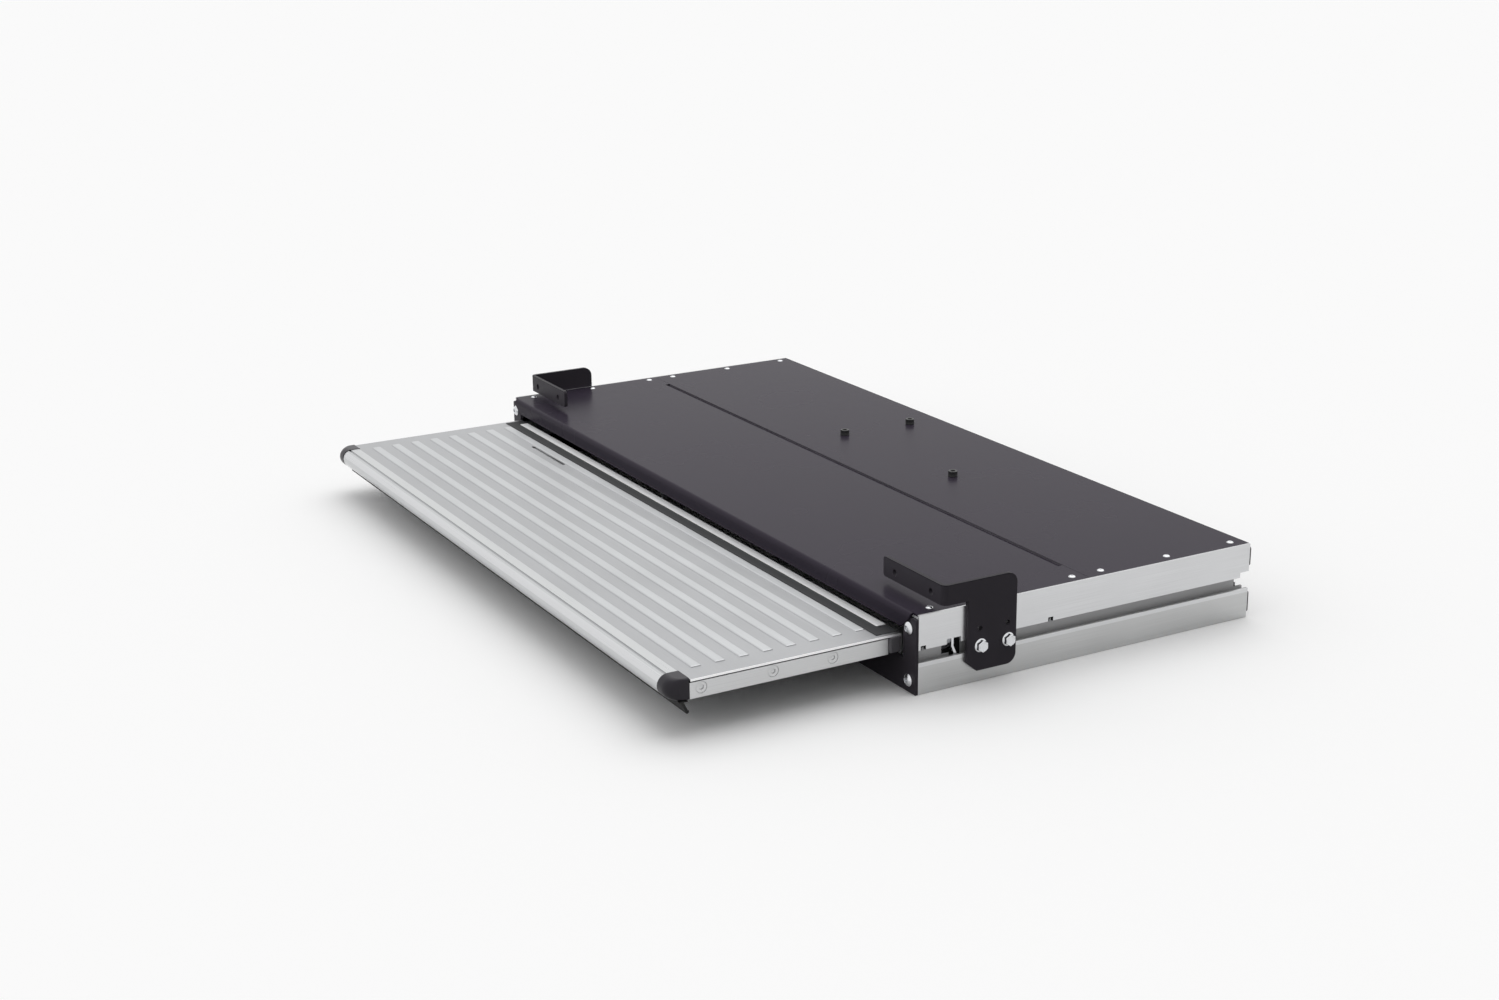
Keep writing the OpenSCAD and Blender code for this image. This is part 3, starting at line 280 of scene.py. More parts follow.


# %% [markdown]
# ### Aluminium
# Extruded and brushed aluminium carries fine lines along its length. Noise that is stretched
# three hundred times more across the lines than along them gives those lines, and the same
# noise drives roughness, tone and bump, so that they agree. Cast and rolled metal gets an even
# grain instead. `along` names the axis that the lines follow. Zones are cut out by their place
# on the piece, and most of them are painted light and shade, not finish. Inside the rail's
# groove the metal is rougher, and its darker colour there is painted shade; the rail's lower
# box is darker as well, painted shade for the shaded floor that it mirrors. The rail's channel,
# window and holes are near black painted shade, and so are the lines along the side bar and at
# the ribs' ends. The nose's groove carries painted shade and its hump a painted highlight, and
# the tread's bright outer edge is a painted highlight too. The tops of the ribs are paler than
# the flats between them. These painted tones copy what the photograph shows there, and they stay
# as they are when the light changes.

# %% Aluminium finishes
def brushed(name, colour, roughness, along, zones=(), depth=0.00002, contrast=0.12,
            metallic=1.0):
    """Brushed metal; each zone is a box, its colour and how much rougher it is there."""
    material, tree, shader = finish(name, colour, roughness, metallic=metallic)
    fine = [2600.0] * 3
    fine["XYZ".index(along)] = 9.0
    lines = grain(tree, fine, detail=2)
    cloud = grain(tree, (14, 14, 14), detail=2, place=(3.1, 1.7, 0.4))
    both = tree.nodes.new("ShaderNodeMath")
    both.operation = "MULTIPLY_ADD"
    both.inputs[1].default_value = 0.35
    tree.links.new(cloud, both.inputs[0])
    tree.links.new(lines, both.inputs[2])
    rough = spread(tree, both.outputs[0], roughness - 0.05, roughness + 0.07, 0.45, 0.9)
    tone = spread(tree, both.outputs[0], 0, 1, 0.45, 0.9)
    shown = tint(tree, tone, darker(colour, 1 - contrast), colour)
    for box, second, rougher in zones:
        inside = zone(tree, box)
        shown = swapped(tree, inside, shown,
                        tint(tree, tone, darker(second, 1 - contrast), second))
        more = tree.nodes.new("ShaderNodeMath")
        more.operation = "MULTIPLY_ADD"
        more.inputs[1].default_value = rougher
        tree.links.new(inside, more.inputs[0])
        tree.links.new(rough, more.inputs[2])
        rough = more.outputs[0]
    tree.links.new(rough, shader.inputs["Roughness"])
    tree.links.new(shown, shader.inputs["Base Color"])
    relief(tree, shader, lines, depth)
    return material


# Painted shade: the lower box of the rail is a darker tone, standing for the shaded floor that it
# mirrors.
SKIN, BOX_PAINTED_SHADE = (0.67, 0.675, 0.685), (0.56, 0.565, 0.565)
# Painted shade inside the rail: its groove faces take a darker colour and its channel a near black
# one; only the extra roughness there is real.
GROOVE_PAINTED_SHADE, SHADE_BLACK, MATT = (0.46, 0.46, 0.465), (0.03, 0.03, 0.03), 0.4
BOX_UP_TO, GROOVE_FACES, CHANNEL = (-1, 26), (400, 439.1), (400, 430.6)
FRONT_CUT, REAR_CUT = (-1, 0.5), (379.5, 382)
# Painted shade: the web seen through the window is near black.
WINDOW_WALL = {"X": (400, 431.8), "Y": (38, 49.6), "Z": (26.5, 46)}
# Painted shade: near black boxes over the two holes, on the skin round each hole as well as inside
# it.
HOLES_Y, HOLE_Z, HOLE_RIM = (5, 144), 43, 2.8
hole_shade = tuple(({"X": (400, 442), "Y": (y - HOLE_RIM, y + HOLE_RIM),
                     "Z": (HOLE_Z - HOLE_RIM, HOLE_Z + HOLE_RIM)}, SHADE_BLACK, MATT) for y in HOLES_Y)
rail_metal = brushed("rail_aluminium", SKIN, 0.34, "Y", zones=(
    ({"Z": BOX_UP_TO}, BOX_PAINTED_SHADE, 0), ({"X": GROOVE_FACES}, GROOVE_PAINTED_SHADE, MATT),
    ({"X": CHANNEL}, SHADE_BLACK, MATT), ({"Y": FRONT_CUT}, SKIN, 0), ({"Y": REAR_CUT}, SKIN, 0),
    (WINDOW_WALL, SHADE_BLACK, MATT)) + hole_shade)
# Painted highlight: a near white strip on the tread's outer side edge. The tops of the ribs are
# paler than the flats.
FLAT_TONE, RIB_TONE, TREAD_EDGE_HIGHLIGHT = (0.43, 0.435, 0.445), (0.56, 0.57, 0.58), (0.93, 0.93, 0.94)
tread_metal = brushed("tread_aluminium", FLAT_TONE, 0.40, "X", zones=(
    ({"Z": (52.4, 54)}, RIB_TONE, 0), ({"X": (416.6, 418)}, TREAD_EDGE_HIGHLIGHT, 0),
    # Painted shade: a dark line along the sloping end of each rib.
    ({"X": (393.4, 395), "Z": (52.05, 52.7)}, darker(FLAT_TONE, 0.5), 0)))
# Painted shade in the nose's groove and a painted highlight on the hump in front of it.
nose_metal = brushed("nose_aluminium", (0.58, 0.59, 0.595), 0.32, "X", contrast=0.05, zones=(
    ({"Y": (225.8, 228.6)}, darker(FLAT_TONE, 0.95), 0), ({"Y": (230.5, 235)}, SKIN, 0)))
BAR_TONE = (0.62, 0.625, 0.63)
# Painted shade: a near black line along the side bar, under the tread's overhanging edge.
side_bar_metal = brushed("side_bar_aluminium", BAR_TONE, 0.33, "Y", zones=(
    ({"X": (400, 414.5), "Z": (47, 51)}, SHADE_BLACK, 0.3),))
trim_metal = brushed("trim_aluminium", (0.92, 0.925, 0.93), 0.55, "X", contrast=0.03,
                     metallic=0.5)
inner_metal = brushed("inner_aluminium", (0.60, 0.61, 0.62), 0.42, "X", contrast=0.18)
arm_metal = brushed("arm_aluminium", (0.60, 0.61, 0.62), 0.42, "Y", contrast=0.18)
print("aluminium finishes made")

# %% [markdown]
# ### Powder coat and moulded plastic
# A powder coat is a thick sprayed film with a fine orange-peel surface: a small bump of about
# half a millimetre pitch and a sheen that drifts slowly. Moulded plastic has a finer, sharper
# grain. One function makes both, with the pitch and the depth as its arguments. Two zones are
# painted light and shade: the cover's edge in the seam is paler as painted light, and the
# bracket's top edge is darker as painted shade.

# %% Coats, plastics and rubbers
def grained(name, colour, roughness, pitch, depth, specular=0.5, drift=0.12, uneven=0.05,
            zones=()):
    """Paint, plastic or rubber with a fine grain; each zone is a box and its colour."""
    material, tree, shader = finish(name, colour, roughness, specular=specular)
    peel = grain(tree, (1 / pitch,) * 3, detail=2)
    cloud = grain(tree, (9, 9, 9), detail=3, place=(0.3, 2.2, 5.0))
    tree.links.new(spread(tree, cloud, roughness - uneven, roughness + uneven),
                   shader.inputs["Roughness"])
    tone = spread(tree, cloud, 0, 1)
    shown = tint(tree, tone, darker(colour, 1 - drift), darker(colour, 1 + drift))
    for box, second in zones:
        shown = swapped(tree, zone(tree, box), shown,
                        tint(tree, tone, darker(second, 1 - drift), darker(second, 1 + drift)))
    tree.links.new(shown, shader.inputs["Base Color"])
    relief(tree, shader, peel, depth)
    return material


SEAM_EDGE_PAINTED_LIGHT, BRACKET_EDGE_PAINTED_SHADE = {"Y": (188.6, 189.6), "Z": (71, 74.7)}, {"Z": (98.2, 99.5)}
# Painted light: the covers' edge face in the seam between them is paler.
cover_paint = grained("cover_paint", (0.035, 0.0285, 0.042), 0.27, 0.0007, 0.00001, specular=0.04,
                      drift=0.04, uneven=0.01,
                      zones=((SEAM_EDGE_PAINTED_LIGHT, (0.15, 0.14, 0.16)),))
# Painted shade: the bracket's top edge is darker, in place of its highlight.
black_paint = grained("black_paint", (0.056, 0.0505, 0.061), 0.40, 0.0007, 0.00002, specular=0.08,
                      zones=((BRACKET_EDGE_PAINTED_SHADE, (0.020, 0.017, 0.023)),))
motor_paint = grained("motor_paint", (0.02, 0.02, 0.022), 0.35, 0.0012, 0.00003)
moulded_black = grained("moulded_black", (0.130, 0.125, 0.138), 0.50, 0.0004, 0.00002)
cap_plastic = grained("cap_plastic", (0.014, 0.011, 0.018), 0.30, 0.0005, 0.00002, specular=0.30)
belt_rubber = grained("belt_rubber", (0.02, 0.02, 0.02), 0.65, 0.0008, 0.00005, specular=0.3)
seal_rubber = grained("seal_rubber", (0.016, 0.016, 0.016), 0.60, 0.0006, 0.00003, specular=0.3)
grip_rubber = grained("grip_rubber", (0.038, 0.039, 0.041), 0.70, 0.0005, 0.00008, specular=0.3)
black_oxide = grained("black_oxide", (0.012, 0.012, 0.013), 0.38, 0.0004, 0.00001)
print("coats, plastics and rubbers made")


# %% [markdown]
# ### Plated, cast and sintered metal
# Plated steel mirrors softly and has faint clouds, a casting has a coarse even grain, and
# sintered bronze is speckled with pores. They differ only in colour, pitch and depth.

# %% Plated, cast and sintered metals
def mottled(name, colour, roughness, pitch, depth, contrast=0.15):
    material, tree, shader = finish(name, colour, roughness, metallic=1.0)
    speck = grain(tree, (1 / pitch,) * 3, detail=4)
    tree.links.new(spread(tree, speck, roughness - 0.06, roughness + 0.08),
                   shader.inputs["Roughness"])
    tree.links.new(tint(tree, spread(tree, speck, 0, 1), darker(colour, 1 - contrast), colour),
                   shader.inputs["Base Color"])
    relief(tree, shader, speck, depth)
    return material


bright_steel = mottled("bright_fastener", (0.72, 0.73, 0.75), 0.18, 0.004, 0.000005, 0.06)
zinc_steel = mottled("zinc_steel", (0.58, 0.59, 0.61), 0.34, 0.006, 0.00001)
cast_metal = mottled("cast_housing", (0.50, 0.51, 0.53), 0.52, 0.0011, 0.00006)
bronze = mottled("bush_bronze", (0.62, 0.45, 0.24), 0.36, 0.0006, 0.00003)
print("metals made")

# %% [markdown]
# ## Edges that catch the light
# No sheared, extruded or moulded edge is razor sharp: it carries a radius of a few tenths of a
# millimetre, and that radius is what draws the bright line along an edge in a photograph. The
# CAD solids have sharp edges. They could be rounded by hand, but a Bevel modifier that picks
# every edge over 30 degrees does it evenly. The CAD mesh is loose triangles, so a copy is
# welded first, and its flat areas are dissolved so that the bevel has clean edges to work on.
# Weighted normals then keep the large flat faces flat in the light.

# %% Helpers for rounded copies of CAD nodes
MM = 0.001
WELD = 0.002 * MM


def put(mesh, name):
    """An object at the origin that shows the mesh."""
    piece = bpy.data.objects.new(name, mesh)
    scene.collection.objects.link(piece)
    return piece


def settled(piece):
    """Replaces the piece's modifiers by their result, as one plain mesh."""
    graph = bpy.context.evaluated_depsgraph_get()
    mesh = bpy.data.meshes.new_from_object(piece.evaluated_get(graph), depsgraph=graph)
    piece.modifiers.clear()
    piece.data = mesh
    mesh.name = piece.name
    return piece


def shaded(piece, angle=35):
    """Smooth shading up to the angle, with normals that follow the larger faces."""
    piece.data.polygons.foreach_set("use_smooth", [True] * len(piece.data.polygons))
    piece.data.set_sharp_from_angle(angle=math.radians(angle))
    weigh = piece.modifiers.new("weighted_normals", "WEIGHTED_NORMAL")
    weigh.mode = "FACE_AREA"
    weigh.keep_sharp = True
    return settled(piece)


def welded(node):
    """A copy of a CAD node's mesh, welded and with its flat areas dissolved."""
    shape = bmesh.new()
    shape.from_mesh(nodes[node].data)
    bmesh.ops.remove_doubles(shape, verts=shape.verts, dist=WELD)
    bmesh.ops.dissolve_limit(shape, angle_limit=math.radians(0.3), verts=shape.verts,
                             edges=shape.edges, use_dissolve_boundaries=False)
    mesh = bpy.data.meshes.new(node + "_copy")
    shape.to_mesh(mesh)
    shape.free()
    return mesh


def softened(name, node, radius, segments=2, over=30):
    """A copy of a CAD node whose edges are rounded to the radius in millimetres."""
    piece = put(welded(node), name)
    bevel = piece.modifiers.new("edge_radius", "BEVEL")
    bevel.width = radius * MM
    bevel.segments = segments
    bevel.limit_method = "ANGLE"
    bevel.angle_limit = math.radians(over)
    return shaded(settled(piece))


def seat(piece, body, slot, material, *replaced):
    """Gives a piece its finish and the body that it rides on, and hides the nodes that it replaces.
    """
    piece.data.materials.clear()
    piece.data.materials.append(material)
    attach(piece, body)
    if replaced:
        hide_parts(*replaced)
    low = [min(v.co[i] for v in piece.data.vertices) for i in range(3)]
    high = [max(v.co[i] for v in piece.data.vertices) for i in range(3)]
    print("%-24s %6d faces  " % (piece.name, len(piece.data.polygons)),
          " x ".join("%.1f" % ((b - a) / MM) for a, b in zip(low, high)), "mm")
    return piece


# %% Rails, brackets and covers with rounded edges
for side in ("right", "left"):
    seat(softened("rail_" + side, "side_rail_" + side, 0.35),
         "cassette", "rail_aluminium", rail_metal, "side_rail_" + side)
    seat(softened("mount_bracket_" + side, "bracket_" + side, 0.6, 3),
         "cassette", "black_paint", black_paint, "bracket_" + side)
for cover in ("front_cover", "rear_cover"):
    seat(softened(cover + "_sheet", cover, 0.45), "cassette", "cover_paint", cover_paint, cover)
seat(softened("crossbar_sheet", "front_crossbar", 0.5),
     "cassette", "black_paint", black_paint, "front_crossbar")
seat(softened("rear_sheet", "rear_plate", 0.4),
     "cassette", "black_paint", black_paint, "rear_plate")
seat(softened("window_clips", "track_clips", 0.2),
     "cassette", "bright_fastener", bright_steel, "track_clips")
seat(softened("square_nuts", "slot_nuts", 0.5),
     "cassette", "zinc_steel", zinc_steel, "slot_nuts")

# %% Arms, beams and side bars of the tread with rounded edges
for side in ("right", "left"):
    seat(softened("side_profile_" + side, "side_bar_" + side, 0.4),
         "step", "tread_aluminium", side_bar_metal, "side_bar_" + side)
    seat(softened("slide_arm_" + side, "arm_" + side, 0.5),
         "step", "inner_aluminium", arm_metal, "arm_" + side)
seat(softened("channel_set", "cross_channels", 0.4),
     "step", "inner_aluminium", inner_metal, "cross_channels")
seat(softened("beam_tube", "rear_beam", 0.6),
     "step", "inner_aluminium", inner_metal, "rear_beam")
seat(softened("guide_pads", "guide_blocks", 1.0, 3),
     "step", "black_plastic", moulded_black, "guide_blocks")
seat(softened("belt_plate", "belt_arm", 0.4), "step", "zinc_steel", zinc_steel, "belt_arm")
seat(softened("belt_grip", "belt_clamp", 0.4), "step", "black_plastic", moulded_black, "belt_clamp")
seat(softened("axle_pins", "roller_axles", 0.4), "step", "zinc_steel", zinc_steel, "roller_axles")
seat(softened("axle_clips", "roller_clips", 0.2), "step", "zinc_steel", zinc_steel, "roller_clips")

# %% [markdown]
# ## Drive under the rear cover
# The drive is bought in: a cast gearbox, a round motor beside it, a bronze bush on the output
# shaft and a toothed belt over two pulleys. A casting has generous radii and a pressed plate
# small ones, so the same helper gets a larger or smaller radius for each.

# %% Drive pieces with rounded edges
for name, node, radius, segments, slot, material in (
        ("drive_sheet", "drive_plate", 0.4, 2, "zinc_steel", zinc_steel),
        ("gearbox_casting", "gearbox_housing", 1.6, 3, "cast_housing", cast_metal),
        ("gearbox_cover", "gearbox_lid", 0.8, 3, "cast_housing", cast_metal),
        ("bronze_bush", "shaft_bush", 0.4, 2, "bush_bronze", bronze),
        ("motor_body", "motor_can", 1.2, 3, "motor_paint", motor_paint),
        ("motor_cap", "motor_end_cap", 0.8, 3, "black_plastic", moulded_black),
        ("motor_angle", "motor_bracket", 0.4, 2, "zinc_steel", zinc_steel),
        ("plug_socket", "power_socket", 0.5, 2, "black_plastic", moulded_black),
        ("idler_sheet", "idler_bracket", 0.4, 2, "zinc_steel", zinc_steel),
        ("idler_pin", "idler_axle", 0.5, 2, "zinc_steel", zinc_steel),
        ("belt_band", "drive_belt", 0.3, 2, "belt_rubber", belt_rubber)):
    seat(softened(name, node, radius, segments), "cassette", slot, material, node)
seat(softened("output_shaft", "drive_shaft", 0.6), "drive_pulley", "zinc_steel", zinc_steel,
     "drive_shaft")
seat(softened("drive_wheel", "drive_pulley", 0.25), "drive_pulley", "black_plastic",
     moulded_black, "drive_pulley")
seat(softened("idler_wheel", "idler_pulley", 0.25), "idler_pulley", "black_plastic",
     moulded_black, "idler_pulley")
for place in ("front_roller_right", "front_roller_left", "rear_roller_right",
              "rear_roller_left"):
    seat(softened(place + "_wheel", place, 0.7, 3), place, "black_plastic", moulded_black, place)

# %% [markdown]
# ## Screws and rivets
# A screw is a turned piece: rings of points stacked along its axis, from the foot of the shank
# up over the head and down into the socket. A ring can be round, a hexagon across its flats, or
# knurled. Two rings of 48 points always join into quads, so a round head runs cleanly into a
# hexagon socket. One design is then placed by a Geometry Nodes tree on the points of a host
# mesh, which also hold the direction of each screw. Changing a point moves its screw.

# %% Rings that make a turned piece
POINTS_ROUND = 48


def ring(shape, size, height):
    """Points round Z: a radius, or the width across flats of a hexagon, in millimetres."""
    points = []
    for step in range(POINTS_ROUND):
        turn = 2 * math.pi * step / POINTS_ROUND
        reach = size
        if shape == "hexagon":
            reach = size / 2 / math.cos(turn % (math.pi / 3) - math.pi / 6)
        if shape == "knurled":
            reach = size - 0.14 * (step % 2)
        points.append((reach * math.cos(turn) * MM, reach * math.sin(turn) * MM, height * MM))
    return points


def turned(name, rings):
    """A closed mesh through the rings, with flat ends."""
    shape = bmesh.new()
    rows = [[shape.verts.new(point) for point in ring(*spec)] for spec in rings]
    for low, high in zip(rows, rows[1:]):
        for i in range(POINTS_ROUND):
            j = (i + 1) % POINTS_ROUND
            shape.faces.new((low[i], low[j], high[j], high[i]))
    shape.faces.new(list(reversed(rows[0])))
    shape.faces.new(rows[-1])
    bmesh.ops.recalc_face_normals(shape, faces=shape.faces)
    mesh = bpy.data.meshes.new(name)
    shape.to_mesh(mesh)
    shape.free()
    mesh.polygons.foreach_set("use_smooth", [True] * len(mesh.polygons))
    mesh.set_sharp_from_angle(angle=math.radians(32))
    return mesh


def shank(radius, length):
    return [("round", radius - 0.4, -length), ("round", radius, 0.4 - length),
            ("round", radius, 0)]


def dome(radius, height, edge, stop):
    """Rings of a domed head that ends where its socket starts."""
    ball = (radius ** 2 + (height - edge) ** 2) / (2 * (height - edge))
    steps = 6
    rows = [("round", radius - 0.2, 0), ("round", radius, 0.2), ("round", radius, edge)]
    for i in range(1, steps + 1):
        r = radius + (stop - radius) * i / steps
        rows.append(("round", r, height - ball + math.sqrt(ball ** 2 - r ** 2)))
    return rows


def socket(flats, top, depth):
    """Rings of a hexagon socket with a small lead-in."""
    return [("hexagon", flats + 0.3, top), ("hexagon", flats, top - 0.3),
            ("hexagon", flats, top - depth + 0.3), ("round", flats * 0.3, top - depth)]


rivet = turned("rivet_design", [("round", 1.8, -4), ("round", 2.0, -3.8), ("round", 2.0, 0),
                                ("round", 3.3, 0), ("round", 3.4, 0.15), ("round", 3.2, 0.6),
                                ("round", 2.6, 1.05), ("round", 1.9, 1.3), ("round", 1.3, 1.38),
                                ("round", 1.1, 1.3), ("round", 1.0, 0.8), ("round", 0.6, 0.75)])
cap_screw = turned("cap_screw_design", shank(3, 15.9) + [
    ("round", 4.8, 0), ("round", 5.0, 0.25), ("round", 5.0, 0.8), ("knurled", 5.0, 1.0),
    ("knurled", 5.0, 5.0), ("round", 4.95, 5.2), ("round", 4.85, 5.7), ("round", 4.5, 6.0),
    ("round", 3.3, 6.0)] + socket(5, 5.95, 3))
flange_bolt = turned("flange_bolt_design", shank(3, 11.5) + [
    ("round", 6.3, 0), ("round", 6.5, 0.2), ("round", 6.5, 0.8), ("round", 6.2, 1.15),
    ("round", 5.9, 1.3), ("hexagon", 10.0, 1.6), ("hexagon", 10.0, 4.6),
    ("hexagon", 9.6, 4.95), ("round", 4.7, 5.2), ("round", 4.1, 5.2), ("round", 3.7, 4.95)])
domed_screw = turned("domed_screw_design", shank(3, 20) + dome(6, 4.5, 1.6, 2.6)
                     + socket(4, 4.0, 1.9))
flat_screw = turned("flat_screw_design", shank(3, 12.2) + [
    ("round", 5.0, 0), ("round", 5.2, 0.2), ("round", 5.2, 2.9), ("round", 5.0, 3.1),
    ("round", 2.9, 3.1)] + socket(4, 3.0, 1.7))
rear_screw = turned("rear_screw_design", shank(2.5, 20) + dome(4.6, 2.6, 0.6, 2.1)
                    + socket(3, 2.3, 1.4))
small_screw = turned("small_screw_design", shank(2, 12) + dome(3.6, 2.4, 0.9, 1.9)
                     + socket(2.5, 2.1, 1.3))
arm_screw = turned("arm_screw_design", shank(2.5, 5.8) + dome(4.4, 2.6, 0.9, 2.1)
                   + socket(3, 2.3, 1.4))
print("screw designs made")

# %% The tree that places fasteners
def tree_input(tree, name, kind):
    return tree.interface.new_socket(name, in_out="INPUT", socket_type=kind)


def new_tree(name):
    tree = bpy.data.node_groups.new(name, "GeometryNodeTree")
    tree_input(tree, "Geometry", "NodeSocketGeometry")
    tree.interface.new_socket("Geometry", in_out="OUTPUT", socket_type="NodeSocketGeometry")
    return tree, tree.nodes.new("NodeGroupInput"), tree.nodes.new("NodeGroupOutput")


def grow(host, tree, **values):
    """Runs a tree on the host with its named inputs set, and keeps the result as a plain mesh."""
    modifier = host.modifiers.new(tree.name, "NODES")
    modifier.node_group = tree
    for item in tree.interface.items_tree:
        if item.in_out == "INPUT" and item.name.replace(" ", "_") in values:
            modifier[item.identifier] = values[item.name.replace(" ", "_")]
    return settled(host)


place_tree, given, result = new_tree("fasteners_on_points")
tree_input(place_tree, "Design", "NodeSocketObject")
tree_input(place_tree, "Finish", "NodeSocketMaterial")
design_info = place_tree.nodes.new("GeometryNodeObjectInfo")
design_info.inputs["As Instance"].default_value = True
facing = place_tree.nodes.new("GeometryNodeInputNamedAttribute")
facing.data_type = "FLOAT_VECTOR"
facing.inputs["Name"].default_value = "turn"
turning = place_tree.nodes.new("FunctionNodeEulerToRotation")
spots = place_tree.nodes.new("GeometryNodeMeshToPoints")
spread_out = place_tree.nodes.new("GeometryNodeInstanceOnPoints")
solid = place_tree.nodes.new("GeometryNodeRealizeInstances")
coat_on = place_tree.nodes.new("GeometryNodeSetMaterial")
link = place_tree.links.new
link(given.outputs["Geometry"], spots.inputs["Mesh"])
link(given.outputs["Design"], design_info.inputs["Object"])
link(facing.outputs["Attribute"], turning.inputs["Euler"])
link(spots.outputs["Points"], spread_out.inputs["Points"])
link(design_info.outputs["Geometry"], spread_out.inputs["Instance"])
link(turning.outputs["Rotation"], spread_out.inputs["Rotation"])
link(spread_out.outputs["Instances"], solid.inputs["Geometry"])
link(solid.outputs["Geometry"], coat_on.inputs["Geometry"])
link(given.outputs["Finish"], coat_on.inputs["Material"])
link(coat_on.outputs["Geometry"], result.inputs["Geometry"])
print("tree", place_tree.name, "has", len(place_tree.nodes), "nodes")


def fasten(name, design, places, body, slot, material, node):
    """Places a screw design at (point, direction) pairs and seats the result."""
    host_mesh = bpy.data.meshes.new(name)
    host_mesh.from_pydata([point for point, toward in places], [], [])
    turn = host_mesh.attributes.new("turn", "FLOAT_VECTOR", "POINT")
    for item, (point, toward) in zip(turn.data, places):
        item.vector = Vector(toward).to_track_quat("Z", "X").to_euler()
    pattern = put(design, name + "_pattern")
    piece = grow(put(host_mesh, name), place_tree, Design=pattern, Finish=material)
    bpy.data.objects.remove(pattern)
    return seat(piece, body, slot, material, node)


# %% Where the fasteners sit, read from the CAD nodes
def middles(node):
    """Centre of each loose solid in a CAD node, with its lowest and highest corner."""
    shape = bmesh.new()
    shape.from_mesh(nodes[node].data)
    bmesh.ops.remove_doubles(shape, verts=shape.verts, dist=WELD)
    left, found = set(shape.verts), []
    while left:
        front, island = [left.pop()], []
        while front:
            vert = front.pop()
            island.append(vert.co.copy())
            for edge in vert.link_edges:
                other = edge.other_vert(vert)
                if other in left:
                    left.discard(other)
                    front.append(other)
        low = Vector(min(c[i] for c in island) for i in range(3))
        high = Vector(max(c[i] for c in island) for i in range(3))
        found.append(((low + high) / 2, low, high))
    shape.free()
    return found


def seats_along(node, axis, head, outward):
    """Seat points under the heads: the far end along an axis, less the head's height."""
    places = []
    for middle, low, high in middles(node):
        sign = outward(middle)
        point = middle.copy()
        point[axis] = (high[axis] if sign > 0 else low[axis]) - sign * head * MM
        toward = Vector((0, 0, 0))
        toward[axis] = sign
        places.append((point, toward))
    return places


def up_or_out(middle):
    return 1


def sideways(middle):
    return 1 if middle.x > 0 else -1


def backwards(middle):
    return -1


fasten("rivet_row", rivet, seats_along("cover_rivets", 2, 1.4, up_or_out),
       "cassette", "bright_fastener", bright_steel, "cover_rivets")
fasten("drive_screws", cap_screw, seats_along("drive_cap_screws", 2, 6, up_or_out),
       "cassette", "black_screw", black_oxide, "drive_cap_screws")
fasten("bracket_screws", flange_bolt, seats_along("bracket_bolts", 0, 5.2, sideways),
       "cassette", "bright_fastener", bright_steel, "bracket_bolts")
fasten("front_screws", domed_screw, seats_along("front_plate_bolts", 1, 4.5, backwards),
       "cassette", "bright_fastener", bright_steel, "front_plate_bolts")
fasten("rear_screws", rear_screw, seats_along("rear_plate_screws", 1, 2.6, up_or_out),
       "cassette", "zinc_steel", zinc_steel, "rear_plate_screws")
fasten("lid_screws", small_screw, seats_along("gearbox_screws", 2, 2.4, backwards),
       "cassette", "zinc_steel", zinc_steel, "gearbox_screws")
fasten("motor_screws", small_screw, seats_along("motor_end_screws", 0, 2.4, up_or_out),
       "cassette", "zinc_steel", zinc_steel, "motor_end_screws")
fasten("profile_screws", flat_screw, seats_along("side_bar_screws", 0, 3.1, sideways),
       "step", "tread_aluminium", side_bar_metal, "side_bar_screws")
fasten("arm_screws", arm_screw, seats_along("belt_arm_bolts", 1, 2.6, up_or_out),
       "step", "zinc_steel", zinc_steel, "belt_arm_bolts")

# %% [markdown]
# ## Tread
# The tread is an aluminium plank with eight raised ribs that end short of its sides. A rib could
# be modelled eight times, but the ribs follow a rule, so a Geometry Nodes tree owns them: a line
# of points at the rib pitch, one rib on each, a union with the sheet and a cut for the drain
# slot. The rib itself is a stack of rounded rectangles, so that its flanks run out softly.

# %% Rounded rectangles stacked into one rib
def rounded_rectangle(half_x, half_y, radius, height, arc=6):
    """Corner points of a rounded rectangle at a height, in metres, from millimetres."""
    points = []
    for corner in range(4):
        sx, sy = ((1, 1), (-1, 1), (-1, -1), (1, -1))[corner]
        for step in range(arc + 1):
            turn = math.radians(90 * (corner + step / arc))
            points.append(((sx * (half_x - radius) + radius * math.cos(turn)) * MM,
                           (sy * (half_y - radius) + radius * math.sin(turn)) * MM, height * MM))
    return points


def stacked(name, rows):
    """A closed mesh through rows of points that all have the same count."""
    shape = bmesh.new()
    rings = [[shape.verts.new(point) for point in row] for row in rows]
    for low, high in zip(rings, rings[1:]):
        for i in range(len(low)):
            j = (i + 1) % len(low)
            shape.faces.new((low[i], low[j], high[j], high[i]))
    shape.faces.new(list(reversed(rings[0])))
    shape.faces.new(rings[-1])
    bmesh.ops.recalc_face_normals(shape, faces=shape.faces)
    mesh = bpy.data.meshes.new(name)
    shape.to_mesh(mesh)
    shape.free()
    return mesh


RIB_COUNT, RIB_PITCH, RIB_W, RIB_H = 8, 23.557, 10.8, 1.0
RIB_HALF, RIB_FIRST_Y = 394.5, -26.0
TREAD_HALF, TREAD_BACK, TREAD_TOP, SHEET_T = 417.0, -3.0, 52.0, 2.0
SEAM_Y, CAP_BACK, CAP_IN = -215.5, -214.5, 397.0

